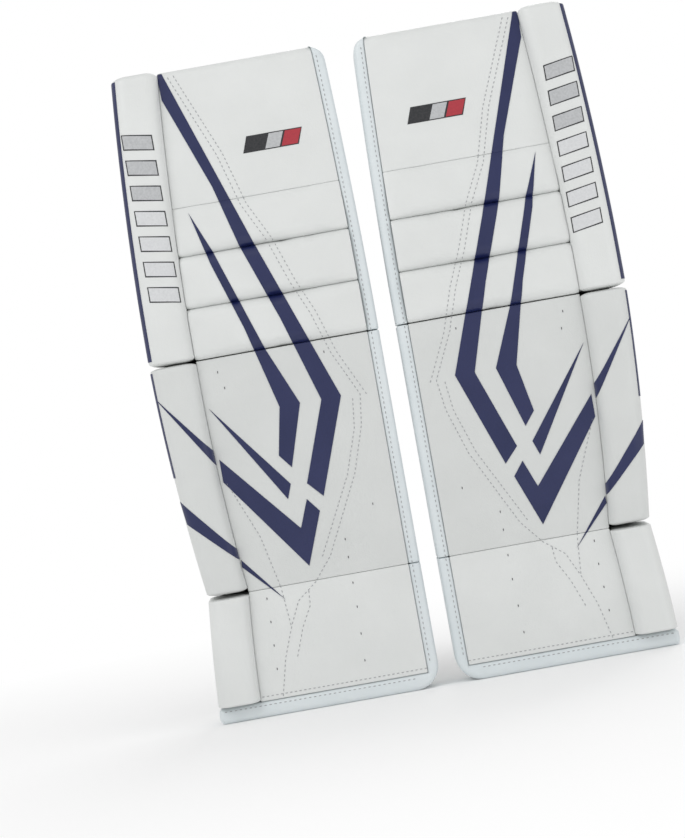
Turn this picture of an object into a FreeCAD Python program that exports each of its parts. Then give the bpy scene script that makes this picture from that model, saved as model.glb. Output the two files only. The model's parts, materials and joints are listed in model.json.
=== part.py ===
"""A pair of ice hockey goalie leg pads, standing side by side on their toe ends, faces towards -Y.

Each pad is modelled once, with its outer roll towards +X, and is kept as the wearer's left pad.
Its mirror image is the right pad. Millimetres, +Z up, the origin on the floor in the middle.

Local axes of one pad: x from the pad's centre line towards the outer side of the leg, y from the
shin's front face back towards the leg, z up from the floor.
"""

import FreeCAD, Part
import math
import os
from FreeCAD import Vector

os.makedirs("parts", exist_ok=True)

# Heights along the pad, and the distance between the two pads' centre lines.
PAD_HEIGHT = 785.0
ANKLE_HEIGHT = 150.0
KNEE_HEIGHT = 434.0
PAD_PITCH = 301.0

# Distances from the centre line: the outer edge, the inner edge, and how far the edges bow out.
OUTER_TOE = 128.5
OUTER_ANKLE = 118.5
OUTER_KNEE = 139.7
OUTER_TOP = 126.0
INNER_EDGE = 139.7
INNER_TOP = 132.0
BOOT_BOW = 1.5
SHIN_BOW = 4.0
UPPER_BOW = 4.0
INNER_BOW = 2.0

# The outer roll: its width at the toe, ankle, knee and top, and its front.
ROLL_WIDTH_TOE = 51.5
ROLL_WIDTH_ANKLE = 49.0
ROLL_WIDTH_KNEE = 56.0
ROLL_WIDTH_TOP = 56.0
ROLL_PROUD = 16.0
ROLL_ROUND = 18.0

# The core, its skin and the back panel.
CORE_BACK = 50.0
SKIN = 4.0
BACK_PANEL = 3.0
BACK_PANEL_INNER_INSET = 6.0
BACK_PANEL_OUTER_INSET = 8.0

# The knee rolls.
KNEE_ROLL_COUNT = 3
KNEE_ROLL_HEIGHT = 59.5
KNEE_ROLL_PROUD = 7.0
KNEE_ROLL_DEPTH = 28.0
KNEE_ROLL_ROUND = 9.0

# The binding down the inner edge and round the toe.
BINDING_WIDTH = 14.0
BINDING_PROUD = 1.5
BINDING_ROUND = 6.0
TOE_BAND_HEIGHT = 19.0
TOP_CORNER = 18.0
TOE_CORNER = 30.0

# Gaps: at a sewn seam, between stacked rolls, at a break, and between separate bodies.
SEAM_GAP = 0.5
ROLL_GAP = 1.5
BREAK_GAP = 1.0
BODY_GAP = 0.5

# The breaks. Each bends about a line across the pad, just behind the core.
BREAK_BEHIND_CORE = 2.0
UPPER_LEAN = 3.0
BOOT_LEAN = 8.0
BOOT_NOTCH = 1.75

# The calf wrap: two curved wings on one circle, whose centre is this far behind the back panel.
WRAP_BEHIND_PANEL = 35.0
CALF_RADIUS = 78.0
CALF_WING_THICK = 20.0
CALF_LOW = 172.0
CALF_HIGH = 396.0
CALF_TIP_ANGLE = 78.0

# The knee: a landing block on the inner side and a wing on the outer side.
KNEE_RADIUS = 70.0
KNEE_WING_THICK = 16.0
KNEE_LOW = 462.0
KNEE_HIGH = 574.0
KNEE_TIP_ANGLE = 76.0
BLOCK_INNER = 136.0
BLOCK_OUTER = 66.0
BLOCK_SLOPE = 20.0

# Elastic straps: each is sewn to an outer wing and lies across the back of the leg.
STRAP_THICK = 2.0
STRAP_LIFT = 0.4
STRAP_STEP = 0.5
STRAP_HINGE_ANGLE = 60.0
CALF_STRAP_WIDTH = 40.0
CALF_STRAP_LOW = 214.0
CALF_STRAP_HIGH = 320.0
CALF_STRAP_END_ANGLE = 127.0
KNEE_STRAP_WIDTH = 50.0
KNEE_STRAP_LOW = 494.0
KNEE_STRAP_RUN = 104.0
TAB_ANGLE = 42.0
RIVET_ANGLE = 50.0
RIVET_RADIUS = 4.0
RIVET_PROUD = 1.4

# The boot channel, and the strap that closes it behind the skate.
SIDE_WALL_THICK = 36.0
SIDE_WALL_DEPTH = 70.0
SIDE_WALL_HIGH = 136.0
CHANNEL_HALF = 62.0
WEB_HEIGHT = 96.0
WEB_WIDTH = 20.0
WEB_THICK = 2.0
WEB_INSET = 4.0

# The side-release buckle. The clip's two prongs pass outside the webbing.
SOCKET_LENGTH = 28.0
CLIP_TAIL = 20.0
PRONG_LENGTH = 20.0
PRONG_WIDTH = 6.0
PRONG_ROOT = 3.0
BUCKLE_THICK = 11.0
BUCKLE_WALL = 2.5
BUCKLE_PLAY = 0.3
WEB_END = 4.0

# The toe bridge, which stands off the boot on two feet and takes the toe ties.
BRIDGE_HALF = 46.0
BRIDGE_LOW = 24.0
BRIDGE_HEIGHT = 32.0
BRIDGE_THICK = 4.0
BRIDGE_STAND = 12.0
BRIDGE_FOOT = 10.0
EYELET_SPACING = 44.0
EYELET_RADIUS = 4.0
EYELET_RIM = 2.5
EYELET_PROUD = 0.8

# How far a boot piece is drawn past the floor and the ankle before it is cut.
BOOT_SPARE = 25.0

# Sizes that follow from these, and a length beyond every piece.
BREAK_DEPTH = CORE_BACK + BREAK_BEHIND_CORE
BACK_FACE = CORE_BACK + BACK_PANEL
WRAP_CENTRE = BACK_FACE + WRAP_BEHIND_PANEL
SIDE_WALL_BACK = CORE_BACK + SIDE_WALL_DEPTH
BUCKLE_WIDTH = WEB_WIDTH + 2 * (PRONG_WIDTH + 2 * BUCKLE_PLAY + BUCKLE_WALL)
FAR = 2 * PAD_HEIGHT

# ---- the outline ------------------------------------------------------------------------------


def bowed(z, low, high, at_low, at_high, bow):
    """A value that runs from at_low to at_high and bows out by that much half-way."""
    share = (z - low) / (high - low)
    return at_low + (at_high - at_low) * share + 4 * bow * share * (1 - share)


def outer(z):
    """The pad's outer edge at a height."""
    if z < ANKLE_HEIGHT:
        return bowed(z, 0, ANKLE_HEIGHT, OUTER_TOE, OUTER_ANKLE, BOOT_BOW)
    if z < KNEE_HEIGHT:
        return bowed(z, ANKLE_HEIGHT, KNEE_HEIGHT, OUTER_ANKLE, OUTER_KNEE, SHIN_BOW)
    return bowed(z, KNEE_HEIGHT, PAD_HEIGHT, OUTER_KNEE, OUTER_TOP, UPPER_BOW)


def seam(z):
    """The seam between the face and the outer roll at a height."""
    if z < ANKLE_HEIGHT:
        return outer(z) - bowed(z, 0, ANKLE_HEIGHT, ROLL_WIDTH_TOE, ROLL_WIDTH_ANKLE, 0)
    if z < KNEE_HEIGHT:
        return outer(z) - bowed(z, ANKLE_HEIGHT, KNEE_HEIGHT, ROLL_WIDTH_ANKLE, ROLL_WIDTH_KNEE, 0)
    return outer(z) - bowed(z, KNEE_HEIGHT, PAD_HEIGHT, ROLL_WIDTH_KNEE, ROLL_WIDTH_TOP, 0)


def inner(z):
    """The pad's inner edge at a height. It is straight up to the knee and tapers above it."""
    if z < KNEE_HEIGHT:
        return -INNER_EDGE
    return -bowed(z, KNEE_HEIGHT, PAD_HEIGHT, INNER_EDGE, INNER_TOP, INNER_BOW)


def binding(z):
    """The seam between the face and the inner edge's binding at a height."""
    return inner(z) + BINDING_WIDTH


def side(edge_at, low, high, shift):
    """One side of a panel, as a line or an arc through its bottom, middle and top."""
    heights = (low, (low + high) / 2, high)
    bottom, middle, top = [Vector(edge_at(z) + shift, 0, z) for z in heights]
    if abs(bottom.x + top.x - 2 * middle.x) < 1e-6:
        return Part.makeLine(bottom, top)
    return Part.Arc(bottom, middle, top).toShape()


def panel(low, high, left, right, front, back, left_gap=SEAM_GAP, right_gap=SEAM_GAP):
    """A slab between two sides of the pad's outline, from one depth to another."""
    left_side = side(left, low, high, left_gap)
    right_side = side(right, low, high, -right_gap)
    bottom = Part.makeLine(left_side.Vertexes[0].Point, right_side.Vertexes[0].Point)
    top = Part.makeLine(left_side.Vertexes[1].Point, right_side.Vertexes[1].Point)
    face = Part.Face(Part.Wire([bottom, right_side, top, left_side]))
    face.translate(Vector(0, front, 0))
    return face.extrude(Vector(0, back - front, 0))


def rounded(slab, front, radius, upright, only_left=False):
    """A slab with the edges of its front face rounded: the upright ones, or the level ones."""
    edges = []
    for edge in slab.Edges:
        box = edge.BoundBox
        on_front = abs(box.YMin - front) < 1e-6 and abs(box.YMax - front) < 1e-6
        if on_front and (box.ZLength > box.XLength) == upright:
            edges.append(edge)
    edges.sort(key=lambda edge: edge.BoundBox.XMin)
    return slab.makeFillet(radius, edges[:1] if only_left else edges)


def block(x_span, y_span, z_span):
    """A box between its lowest and highest corners."""
    lengths = [span[1] - span[0] for span in (x_span, y_span, z_span)]
    return Part.makeBox(*lengths, Vector(x_span[0], y_span[0], z_span[0]))


def prism(points, direction):
    """A straight-sided solid from its outline, drawn along a direction."""
    return Part.Face(Part.makePolygon(points + points[:1])).extrude(direction)


def corner_waste(edge_x, edge_z, radius, up):
    """What a rounded corner at the inner edge takes away. up is 1 at the top and -1 at the toe."""
    z_span = sorted((edge_z - up * radius, edge_z + up * radius))
    square = block((edge_x - radius, edge_x + radius), (-FAR, FAR), z_span)
    centre = Vector(edge_x + radius, -FAR, edge_z - up * radius)
    return square.cut(Part.makeCylinder(radius, 2 * FAR, centre, Vector(0, 1, 0)))


# ---- the three stretches ----------------------------------------------------------------------


def lean(shape, height, angle):
    """A copy bent about a break's line: what is above it goes back, what is below it forward."""
    bent = shape.copy()
    bent.rotate(Vector(0, BREAK_DEPTH, height), Vector(1, 0, 0), -angle)
    return bent


def ankle_waste(up):
    """What the ankle break takes off the boot (up is 1) or off the shin (up is -1).

    The two cuts meet at the break's line and open towards the front, so that the boot can bend.
    """
    height = ANKLE_HEIGHT - up * BREAK_GAP / 2
    drop = (BREAK_DEPTH + FAR) * math.tan(math.radians(BOOT_NOTCH))
    outline = [
        Vector(-FAR, FAR, height),
        Vector(-FAR, BREAK_DEPTH, height),
        Vector(-FAR, -FAR, height - up * drop),
        Vector(-FAR, -FAR, up * FAR),
        Vector(-FAR, FAR, up * FAR),
    ]
    return prism(outline, Vector(2 * FAR, 0, 0))


ABOVE_BOOT = ankle_waste(1)
BELOW_SHIN = ankle_waste(-1)
UNDERGROUND = block((-FAR, FAR), (-FAR, FAR), (-FAR, 0))
TOE_BAND_SPACE = block((-FAR, FAR), (-FAR, FAR), (-FAR, TOE_BAND_HEIGHT + SEAM_GAP))

UPPER_LOW = KNEE_HEIGHT + BREAK_GAP
SHIN_HIGH = KNEE_HEIGHT - BREAK_GAP
BOOT_LOW = -BOOT_SPARE
BOOT_HIGH = ANKLE_HEIGHT + BOOT_SPARE
FACE_LOW = UPPER_LOW + KNEE_ROLL_COUNT * (KNEE_ROLL_HEIGHT + ROLL_GAP)


def upper_part(shape):
    """A part above the knee break, at its resting lean."""
    return lean(shape, KNEE_HEIGHT, UPPER_LEAN)


def shin_part(shape):
    """A part of the shin, with the ankle break's lower end cut."""
    return shape.cut(BELOW_SHIN)


def boot_part(shape):
    """A part of the boot: it leans, stands flat on the floor and ends at the ankle break."""
    return lean(shape, ANKLE_HEIGHT, BOOT_LEAN).cut(UNDERGROUND).cut(ABOVE_BOOT)


# ---- the padded front -------------------------------------------------------------------------


def outer_roll(low, high):
    """A stretch of the stuffed roll down the outer side, with its front rounded."""
    slab = panel(low, high, seam, outer, -ROLL_PROUD, CORE_BACK, SEAM_GAP, 0)
    return rounded(slab, -ROLL_PROUD, ROLL_ROUND, True)


def inner_edge(low, high):
    """A stretch of the gusset and binding down the inner side."""
    slab = panel(low, high, inner, binding, -BINDING_PROUD, CORE_BACK, 0, SEAM_GAP)
    return rounded(slab, -BINDING_PROUD, BINDING_ROUND, True, True)


def core(low, high):
    """A stretch of the foam core."""
    return panel(low, high, binding, seam, SKIN, CORE_BACK)


def skin(low, high):
    """A stretch of the flat face over the core."""
    return panel(low, high, binding, seam, 0, SKIN)


def back_panel(low, high):
    """A stretch of the cloth-covered board on the leg side."""
    insets = (BACK_PANEL_INNER_INSET, BACK_PANEL_OUTER_INSET)
    return panel(low, high, inner, outer, CORE_BACK, BACK_FACE, *insets)


def knee_roll(place):
    """One of the stuffed rolls across the knee, place 0 being the lowest."""
    low = UPPER_LOW + place * (KNEE_ROLL_HEIGHT + ROLL_GAP)
    slab = panel(low, low + KNEE_ROLL_HEIGHT, binding, seam, -KNEE_ROLL_PROUD, KNEE_ROLL_DEPTH)
    return upper_part(rounded(slab, -KNEE_ROLL_PROUD, KNEE_ROLL_ROUND, False))


def thigh_core():
    """The core above the knee, stepped back behind the knee rolls."""
    rolls = block((-FAR, FAR), (-FAR, KNEE_ROLL_DEPTH + SEAM_GAP), (-FAR, FACE_LOW))
    return upper_part(core(UPPER_LOW, PAD_HEIGHT - SKIN).cut(rolls))


def thigh_face():
    """The face of the thigh rise, turned over the top of the core."""
    front = panel(FACE_LOW, PAD_HEIGHT, binding, seam, 0, CORE_BACK)
    behind = block((-FAR, FAR), (SKIN, FAR), (-FAR, PAD_HEIGHT - SKIN))
    return upper_part(front.cut(behind))


def upper_inner_edge():
    """The inner gusset above the knee, with the pad's top corner rounded."""
    waste = corner_waste(inner(PAD_HEIGHT), PAD_HEIGHT, TOP_CORNER, 1)
    return upper_part(inner_edge(UPPER_LOW, PAD_HEIGHT).cut(waste))


def boot_binding():
    """The boot's binding, in one piece up the inner edge and along the toe."""
    slab = panel(BOOT_LOW, BOOT_HIGH, binding, outer, -BINDING_PROUD, CORE_BACK, -SEAM_GAP, 0)
    toe = boot_part(slab).common(block((-FAR, FAR), (-FAR, FAR), (0, TOE_BAND_HEIGHT)))
    whole = boot_part(inner_edge(BOOT_LOW, BOOT_HIGH)).fuse(toe).removeSplitter()
    return whole.cut(corner_waste(inner(0), 0, TOE_CORNER, -1))


# ---- the wings and straps ---------------------------------------------------------------------

CALF_OUTSIDE = CALF_RADIUS + CALF_WING_THICK
KNEE_OUTSIDE = KNEE_RADIUS + KNEE_WING_THICK
SLOPE = math.radians(BLOCK_SLOPE)
TANGENT_ANGLE = 90 + BLOCK_SLOPE


def ring_point(radius, degrees, z):
    """A point on a circle round the leg. 0 degrees is the outer side and 90 is the back."""
    turn = math.radians(degrees)
    return Vector(radius * math.cos(turn), WRAP_CENTRE + radius * math.sin(turn), z)


def ring_arc(radius, start, end, z):
    """An arc of a circle round the leg."""
    return Part.Arc(*[ring_point(radius, a, z) for a in (start, (start + end) / 2, end)]).toShape()


def band(radius, thick, start, end, low, width, run=Vector(0, 0, 0)):
    """A curved band round the leg between two angles, with an optional straight run after it."""
    far = radius + thick
    far_turn, near_turn = [ring_point(r, end, low) for r in (far, radius)]
    edges = [ring_arc(far, start, end, low), ring_arc(radius, end, start, low)]
    edges.append(Part.makeLine(far_turn + run, near_turn + run))
    edges.append(Part.makeLine(ring_point(radius, start, low), ring_point(far, start, low)))
    if run.Length > 0:
        edges.append(Part.makeLine(far_turn, far_turn + run))
        edges.append(Part.makeLine(near_turn + run, near_turn))
    outline = Part.Wire(Part.__sortEdges__(edges))
    return Part.Face(outline).extrude(Vector(0, 0, width))


def wing(radius, thick, start, end, low, high):
    """A padded wing, with its root against the back panel."""
    root = block((-FAR, FAR), (-FAR, BACK_FACE + BODY_GAP), (-FAR, FAR))
    return band(radius, thick, start, end, low, high - low).cut(root)


def calf_wing(start, end):
    """One of the two wings of the calf wrap."""
    return wing(CALF_RADIUS, CALF_WING_THICK, start, end, CALF_LOW, CALF_HIGH)


def calf_strap(low):
    """An elastic band from the outer calf wing across to the inner one."""
    start = STRAP_HINGE_ANGLE + STRAP_STEP
    radius = CALF_OUTSIDE + STRAP_LIFT
    return band(radius, STRAP_THICK, start, CALF_STRAP_END_ANGLE, low, CALF_STRAP_WIDTH)


def strap_anchor(low):
    """The sewn end of a calf strap and its two rivets."""
    thick = STRAP_LIFT + STRAP_THICK
    end = STRAP_HINGE_ANGLE - STRAP_STEP
    tab = band(CALF_OUTSIDE, thick, TAB_ANGLE, end, low, CALF_STRAP_WIDTH)
    outwards = ring_point(1, RIVET_ANGLE, 0) - ring_point(0, RIVET_ANGLE, 0)
    rivets = []
    for share in (0.25, 0.75):
        foot = ring_point(CALF_OUTSIDE + thick / 2, RIVET_ANGLE, low + share * CALF_STRAP_WIDTH)
        rivets.append(Part.makeCylinder(RIVET_RADIUS, thick / 2 + RIVET_PROUD, foot, outwards))
    return [tab.cut(rivets[0]).cut(rivets[1])] + rivets


def knee_strap():
    """The knee strap: round the knee wing, then straight down onto the landing block."""
    start = STRAP_HINGE_ANGLE + STRAP_STEP
    radius = KNEE_OUTSIDE + STRAP_LIFT
    run = Vector(-math.cos(SLOPE), -math.sin(SLOPE), 0) * KNEE_STRAP_RUN
    strap = band(radius, STRAP_THICK, start, TANGENT_ANGLE, KNEE_STRAP_LOW, KNEE_STRAP_WIDTH, run)
    return upper_part(strap)


def knee_block():
    """The landing block inside the knee. Its back slopes, so that the knee strap lies on it."""
    tangent = ring_point(KNEE_OUTSIDE, TANGENT_ANGLE, KNEE_LOW)
    outline = []
    for x in (-BLOCK_INNER, -BLOCK_OUTER):
        back = Vector(x, tangent.y + (x - tangent.x) * math.tan(SLOPE), KNEE_LOW)
        front = Vector(x, BACK_FACE, KNEE_LOW)
        outline += [front, back] if x == -BLOCK_INNER else [back, front]
    return upper_part(prism(outline, Vector(0, 0, KNEE_HIGH - KNEE_LOW)))


def knee_wing():
    """The padded wing on the outer side of the knee."""
    return upper_part(wing(KNEE_RADIUS, KNEE_WING_THICK, -60, KNEE_TIP_ANGLE, KNEE_LOW, KNEE_HIGH))


# ---- the back of the boot ---------------------------------------------------------------------


def boot_side_walls():
    """The two foam walls of the boot channel, which the skate goes between."""
    depth = (CORE_BACK, SIDE_WALL_BACK)
    walls = []
    for turn in (-1, 1):
        x_span = sorted((turn * CHANNEL_HALF, turn * (CHANNEL_HALF + SIDE_WALL_THICK)))
        walls.append(boot_part(block(x_span, depth, (-2 * BOOT_SPARE, SIDE_WALL_HIGH))))
    return walls


def boot_webbing():
    """The boot strap's two lengths of webbing: one ends at the socket, one inside the clip."""
    depth = (SIDE_WALL_BACK, SIDE_WALL_BACK + WEB_THICK)
    z_span = (WEB_HEIGHT - WEB_WIDTH / 2, WEB_HEIGHT + WEB_WIDTH / 2)
    far = CHANNEL_HALF + SIDE_WALL_THICK - WEB_INSET
    spans = ((SOCKET_LENGTH, far), (-far, -WEB_END))
    return [boot_part(block(span, depth, z_span)) for span in spans]


def buckle_block(start, end, width, thick):
    """A block centred on the webbing, between two places along it."""
    middle = SIDE_WALL_BACK + WEB_THICK / 2
    depth = (middle - thick / 2, middle + thick / 2)
    return block((start, end), depth, (WEB_HEIGHT - width / 2, WEB_HEIGHT + width / 2))


def buckle_socket():
    """The buckle's hollow half, open towards the clip."""
    room = [size - 2 * BUCKLE_WALL for size in (BUCKLE_WIDTH, BUCKLE_THICK)]
    hollow = buckle_block(0, PRONG_LENGTH + BUCKLE_WALL, *room)
    return boot_part(buckle_block(0, SOCKET_LENGTH, BUCKLE_WIDTH, BUCKLE_THICK).cut(hollow))


def buckle_clip():
    """The buckle's plug half: a tail that slides along the webbing, and two prongs."""
    tail = buckle_block(-CLIP_TAIL, -BUCKLE_PLAY, BUCKLE_WIDTH, BUCKLE_THICK)
    room = [size - 2 * (BUCKLE_WALL + BUCKLE_PLAY) for size in (BUCKLE_WIDTH, BUCKLE_THICK)]
    prongs = buckle_block(-PRONG_ROOT, PRONG_LENGTH, *room)
    slot_width, slot_thick = [size + 2 * BUCKLE_PLAY for size in (WEB_WIDTH, WEB_THICK)]
    prongs = prongs.cut(buckle_block(-PRONG_ROOT, PRONG_LENGTH, slot_width, BUCKLE_THICK))
    tail = tail.cut(buckle_block(-CLIP_TAIL, -BUCKLE_PLAY, slot_width, slot_thick))
    return boot_part(tail.fuse(prongs).removeSplitter())


def toe_bridge():
    """The leather bridge for the toe ties, with two metal eyelets in it."""
    outside = CORE_BACK + BRIDGE_STAND + BRIDGE_THICK
    z_span = (BRIDGE_LOW, BRIDGE_LOW + BRIDGE_HEIGHT)
    bridge = block((-BRIDGE_HALF, BRIDGE_HALF), (CORE_BACK, outside), z_span)
    under = (BRIDGE_FOOT - BRIDGE_HALF, BRIDGE_HALF - BRIDGE_FOOT)
    bridge = bridge.cut(block(under, (CORE_BACK, CORE_BACK + BRIDGE_STAND), z_span))
    solids = [bridge]
    for x in (-EYELET_SPACING / 2, EYELET_SPACING / 2):
        start = Vector(x, CORE_BACK + BRIDGE_STAND, BRIDGE_LOW + BRIDGE_HEIGHT / 2)
        length = BRIDGE_THICK + EYELET_PROUD
        rim = Part.makeCylinder(EYELET_RADIUS + EYELET_RIM, length, start, Vector(0, 1, 0))
        hole = Part.makeCylinder(EYELET_RADIUS, length, start, Vector(0, 1, 0))
        solids[0] = solids[0].cut(rim)
        solids.append(rim.cut(hole))
    return [boot_part(solid) for solid in solids]


# ---- the pair ---------------------------------------------------------------------------------


def one_pad():
    """Every piece of the left pad, by name. A list is a group of separate solids in one piece."""
    pieces = {
        "thigh_core": thigh_core(),
        "thigh_face": thigh_face(),
        "outer_roll_upper": upper_part(outer_roll(UPPER_LOW, PAD_HEIGHT)),
        "inner_edge_upper": upper_inner_edge(),
        "upper_back_panel": upper_part(back_panel(UPPER_LOW, PAD_HEIGHT - SKIN)),
        "knee_block": knee_block(),
        "knee_wing": knee_wing(),
        "knee_strap": knee_strap(),
        "shin_core": shin_part(core(ANKLE_HEIGHT, SHIN_HIGH)),
        "shin_face": shin_part(skin(ANKLE_HEIGHT, SHIN_HIGH)),
        "outer_roll_shin": shin_part(outer_roll(ANKLE_HEIGHT, SHIN_HIGH)),
        "inner_edge_shin": shin_part(inner_edge(ANKLE_HEIGHT, SHIN_HIGH)),
        "shin_back_panel": shin_part(back_panel(ANKLE_HEIGHT + BREAK_GAP, SHIN_HIGH)),
        "calf_wing_outer": calf_wing(-60, CALF_TIP_ANGLE),
        "calf_wing_inner": calf_wing(180 - CALF_TIP_ANGLE, 240),
        "calf_strap_lower": calf_strap(CALF_STRAP_LOW),
        "calf_strap_upper": calf_strap(CALF_STRAP_HIGH),
        "calf_strap_anchors": strap_anchor(CALF_STRAP_LOW) + strap_anchor(CALF_STRAP_HIGH),
        "boot_core": boot_part(core(BOOT_LOW, BOOT_HIGH)).cut(TOE_BAND_SPACE),
        "boot_face": boot_part(skin(BOOT_LOW, BOOT_HIGH)).cut(TOE_BAND_SPACE),
        "outer_roll_boot": boot_part(outer_roll(BOOT_LOW, BOOT_HIGH)).cut(TOE_BAND_SPACE),
        "boot_binding": boot_binding(),
        "boot_side_walls": boot_side_walls(),
        "boot_webbing": boot_webbing(),
        "buckle_socket": buckle_socket(),
        "buckle_clip": buckle_clip(),
        "toe_bridge": toe_bridge(),
    }
    for place in range(KNEE_ROLL_COUNT):
        pieces[f"knee_roll_{KNEE_ROLL_COUNT - place}"] = knee_roll(place)
    return pieces


left_pad = {}
for name, piece in one_pad().items():
    left_pad[name] = Part.makeCompound(piece) if isinstance(piece, list) else piece

front = min(piece.BoundBox.YMin for piece in left_pad.values())
back = max(piece.BoundBox.YMax for piece in left_pad.values())
to_the_left = Vector(PAD_PITCH / 2, -(front + back) / 2, 0)
print(f"depth {back - front:.2f} mm, the shin's face at y = {to_the_left.y:.4f} mm")

for name, piece in left_pad.items():
    piece.translate(to_the_left)
    mirrored = piece.mirror(Vector(0, 0, 0), Vector(1, 0, 0))
    print(f"{name:20s} {len(piece.Solids)} solids, {piece.Volume / 1000:8.1f} cm3, valid {piece.isValid()}")
    piece.exportStep(f"parts/left_{name}.step")
    mirrored.exportStep(f"parts/right_{name}.step")
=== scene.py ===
"""A pair of goalie leg pads: white synthetic leather over foam, with navy inlays down the fronts."""

import json
import math

import bmesh
import bpy
import numpy as np
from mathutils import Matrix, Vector
from mathutils.bvhtree import BVHTree


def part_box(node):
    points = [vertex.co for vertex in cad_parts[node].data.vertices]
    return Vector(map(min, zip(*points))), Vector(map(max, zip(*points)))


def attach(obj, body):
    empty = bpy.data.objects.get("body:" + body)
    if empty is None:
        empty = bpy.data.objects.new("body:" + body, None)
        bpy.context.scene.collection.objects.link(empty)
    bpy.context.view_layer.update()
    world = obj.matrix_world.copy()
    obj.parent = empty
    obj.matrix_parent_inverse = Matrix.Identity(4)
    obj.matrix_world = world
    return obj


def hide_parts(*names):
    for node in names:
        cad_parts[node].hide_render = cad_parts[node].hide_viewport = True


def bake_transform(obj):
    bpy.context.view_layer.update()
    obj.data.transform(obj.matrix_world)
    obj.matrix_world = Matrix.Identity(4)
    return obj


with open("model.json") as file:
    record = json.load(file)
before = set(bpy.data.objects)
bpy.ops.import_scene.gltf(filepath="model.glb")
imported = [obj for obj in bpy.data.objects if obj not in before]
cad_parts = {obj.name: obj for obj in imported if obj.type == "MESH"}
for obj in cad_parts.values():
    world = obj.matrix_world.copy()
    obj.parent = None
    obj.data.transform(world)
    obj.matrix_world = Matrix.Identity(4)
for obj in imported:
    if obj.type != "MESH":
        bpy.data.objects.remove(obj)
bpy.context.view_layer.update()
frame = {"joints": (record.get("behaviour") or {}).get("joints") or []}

# ---- Foam cores -------------------------------------------------------------------------------
# Three slabs of closed-cell foam, cut to the pad's outline and glued up in layers. The covers hide
# them. They are drawn straight, in millimetres from the shin's face, and then leaned with the rest.

MM = 0.001
CORE_BACK = 50
SKIN = 4
BREAK_DEPTH = 52
TOP = 786
THIGH_LEAN = 3
TOE_LEAN = 8
ANKLE_BEND = (122, 178)
ANKLE_NOTCH = 1.75
KNEE_GROOVES = (434.5, 496.5, 560, 619)
ROLL_STEP = 29
SLACK = 0.22
OUTER_TOE = 128.5
OUTER_ANKLE = 118.5
OUTER_KNEE = 139.7
OUTER_TOP = 126
ROLL_WIDTHS = (51.5, 49, 56, 56)
INNER = 139.7
INNER_TOP = 132
BINDING_WIDTH = 14
SEAM_GAP = 0.1
ANKLE_GAP = 0.5
CORE_GAP = 1.5

joints = {joint["name"]: joint for joint in frame["joints"]}
knee_line = Vector(joints["left_knee_break"]["pos_m"]) / MM
ankle_line = Vector(joints["left_boot_break"]["pos_m"]) / MM
KNEE = knee_line.z
ANKLE = ankle_line.z
to_left_pad = np.array((knee_line.x, knee_line.y - BREAK_DEPTH, 0))


def bowed(z, low, high, at_low, at_high, bow):
    """A width that runs from one value to another and bows out half-way."""
    share = (z - low) / (high - low)
    return at_low + (at_high - at_low) * share + 4 * bow * share * (1 - share)


def outer_edge(z):
    """The outer side of the pad at a height, out from its centre line."""
    boot = bowed(z, 0, ANKLE, OUTER_TOE, OUTER_ANKLE, 1.5)
    shin = bowed(z, ANKLE, KNEE, OUTER_ANKLE, OUTER_KNEE, 4)
    thigh = bowed(z, KNEE, TOP, OUTER_KNEE, OUTER_TOP, 4)
    return np.where(z < ANKLE, boot, np.where(z < KNEE, shin, thigh))


def roll_seam(z):
    """The seam between the face and the outer roll."""
    return outer_edge(z) - np.interp(z, (0, ANKLE, KNEE, TOP), ROLL_WIDTHS)


def inner_edge(z):
    """The inner side of the pad, which is straight below the knee."""
    return np.where(z < KNEE, -INNER, -bowed(z, KNEE, TOP, INNER, INNER_TOP, 2))


def binding_seam(z):
    """The seam between the face and the inner edge's binding."""
    return inner_edge(z) + BINDING_WIDTH


def stand(points):
    """Leans straight points as the pad stands: thigh back, toe forward, with a soft bend between.

    The front is left a little uneven, as hand-stuffed covers are.
    """
    x, y, z = points.T
    low, high = ANKLE_BEND
    bend = np.clip((z - low) / (high - low), 0, 1)
    toe = (high - low) * (0.5 - bend + bend**3 - bend**4 / 2) + np.clip(low - z, 0, None)
    lean = np.tan(np.radians(THIGH_LEAN)) * np.clip(z - KNEE, 0, None)
    waves = np.sin(x / 23 + z / 41) + np.sin(x / 37 - z / 29 + 1) + np.sin(z / 17 - x / 60 + 2)
    uneven = SLACK * waves * np.clip(1 - y / CORE_BACK, 0, 1)
    return np.stack((x, y + uneven + lean - np.tan(np.radians(TOE_LEAN)) * toe, z), axis=1)


def stuffed_block(size, rounds, step=5):
    """A closed box from the origin to size with rounded edges, as points and four-sided faces.

    rounds holds, for each axis, the radius at its low side and at its high side.
    """
    size, rounds = np.array(size, float), np.array(rounds, float)
    turns = np.tan(np.radians((45, 30, 15)))
    marks = []
    for length, (low, high) in zip(size, rounds):
        count = max(2, round((length - low - high) / step) + 1)
        flat = np.linspace(low, length - high, count)
        marks.append(np.concatenate((low - low * turns, flat, length - high + high * turns[::-1])))
    number = np.full([len(mark) for mark in marks], -1)
    skin = np.zeros(number.shape, bool)
    for axis in range(3):
        ends = np.moveaxis(skin, axis, 0)
        ends[0] = ends[-1] = True
    number[skin] = np.arange(skin.sum())
    points = np.stack([grid[skin] for grid in np.meshgrid(*marks, indexing="ij")], axis=1)
    faces = []
    for axis in range(3):
        for end in (0, -1):
            wall = np.moveaxis(number, axis, 0)[end]
            corners = (wall[:-1, :-1], wall[1:, :-1], wall[1:, 1:], wall[:-1, 1:])
            quads = np.stack(corners, axis=-1).reshape(-1, 4)
            faces.append(quads[:, ::-1] if (end == 0) != (axis == 1) else quads)
    core = np.clip(points, rounds[:, 0], size - rounds[:, 1])
    away = points - core
    radius = np.where(away < 0, rounds[:, 0], rounds[:, 1])
    reach = np.linalg.norm(away / radius, axis=1, keepdims=True)
    return core + away / reach, np.concatenate(faces)


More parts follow.
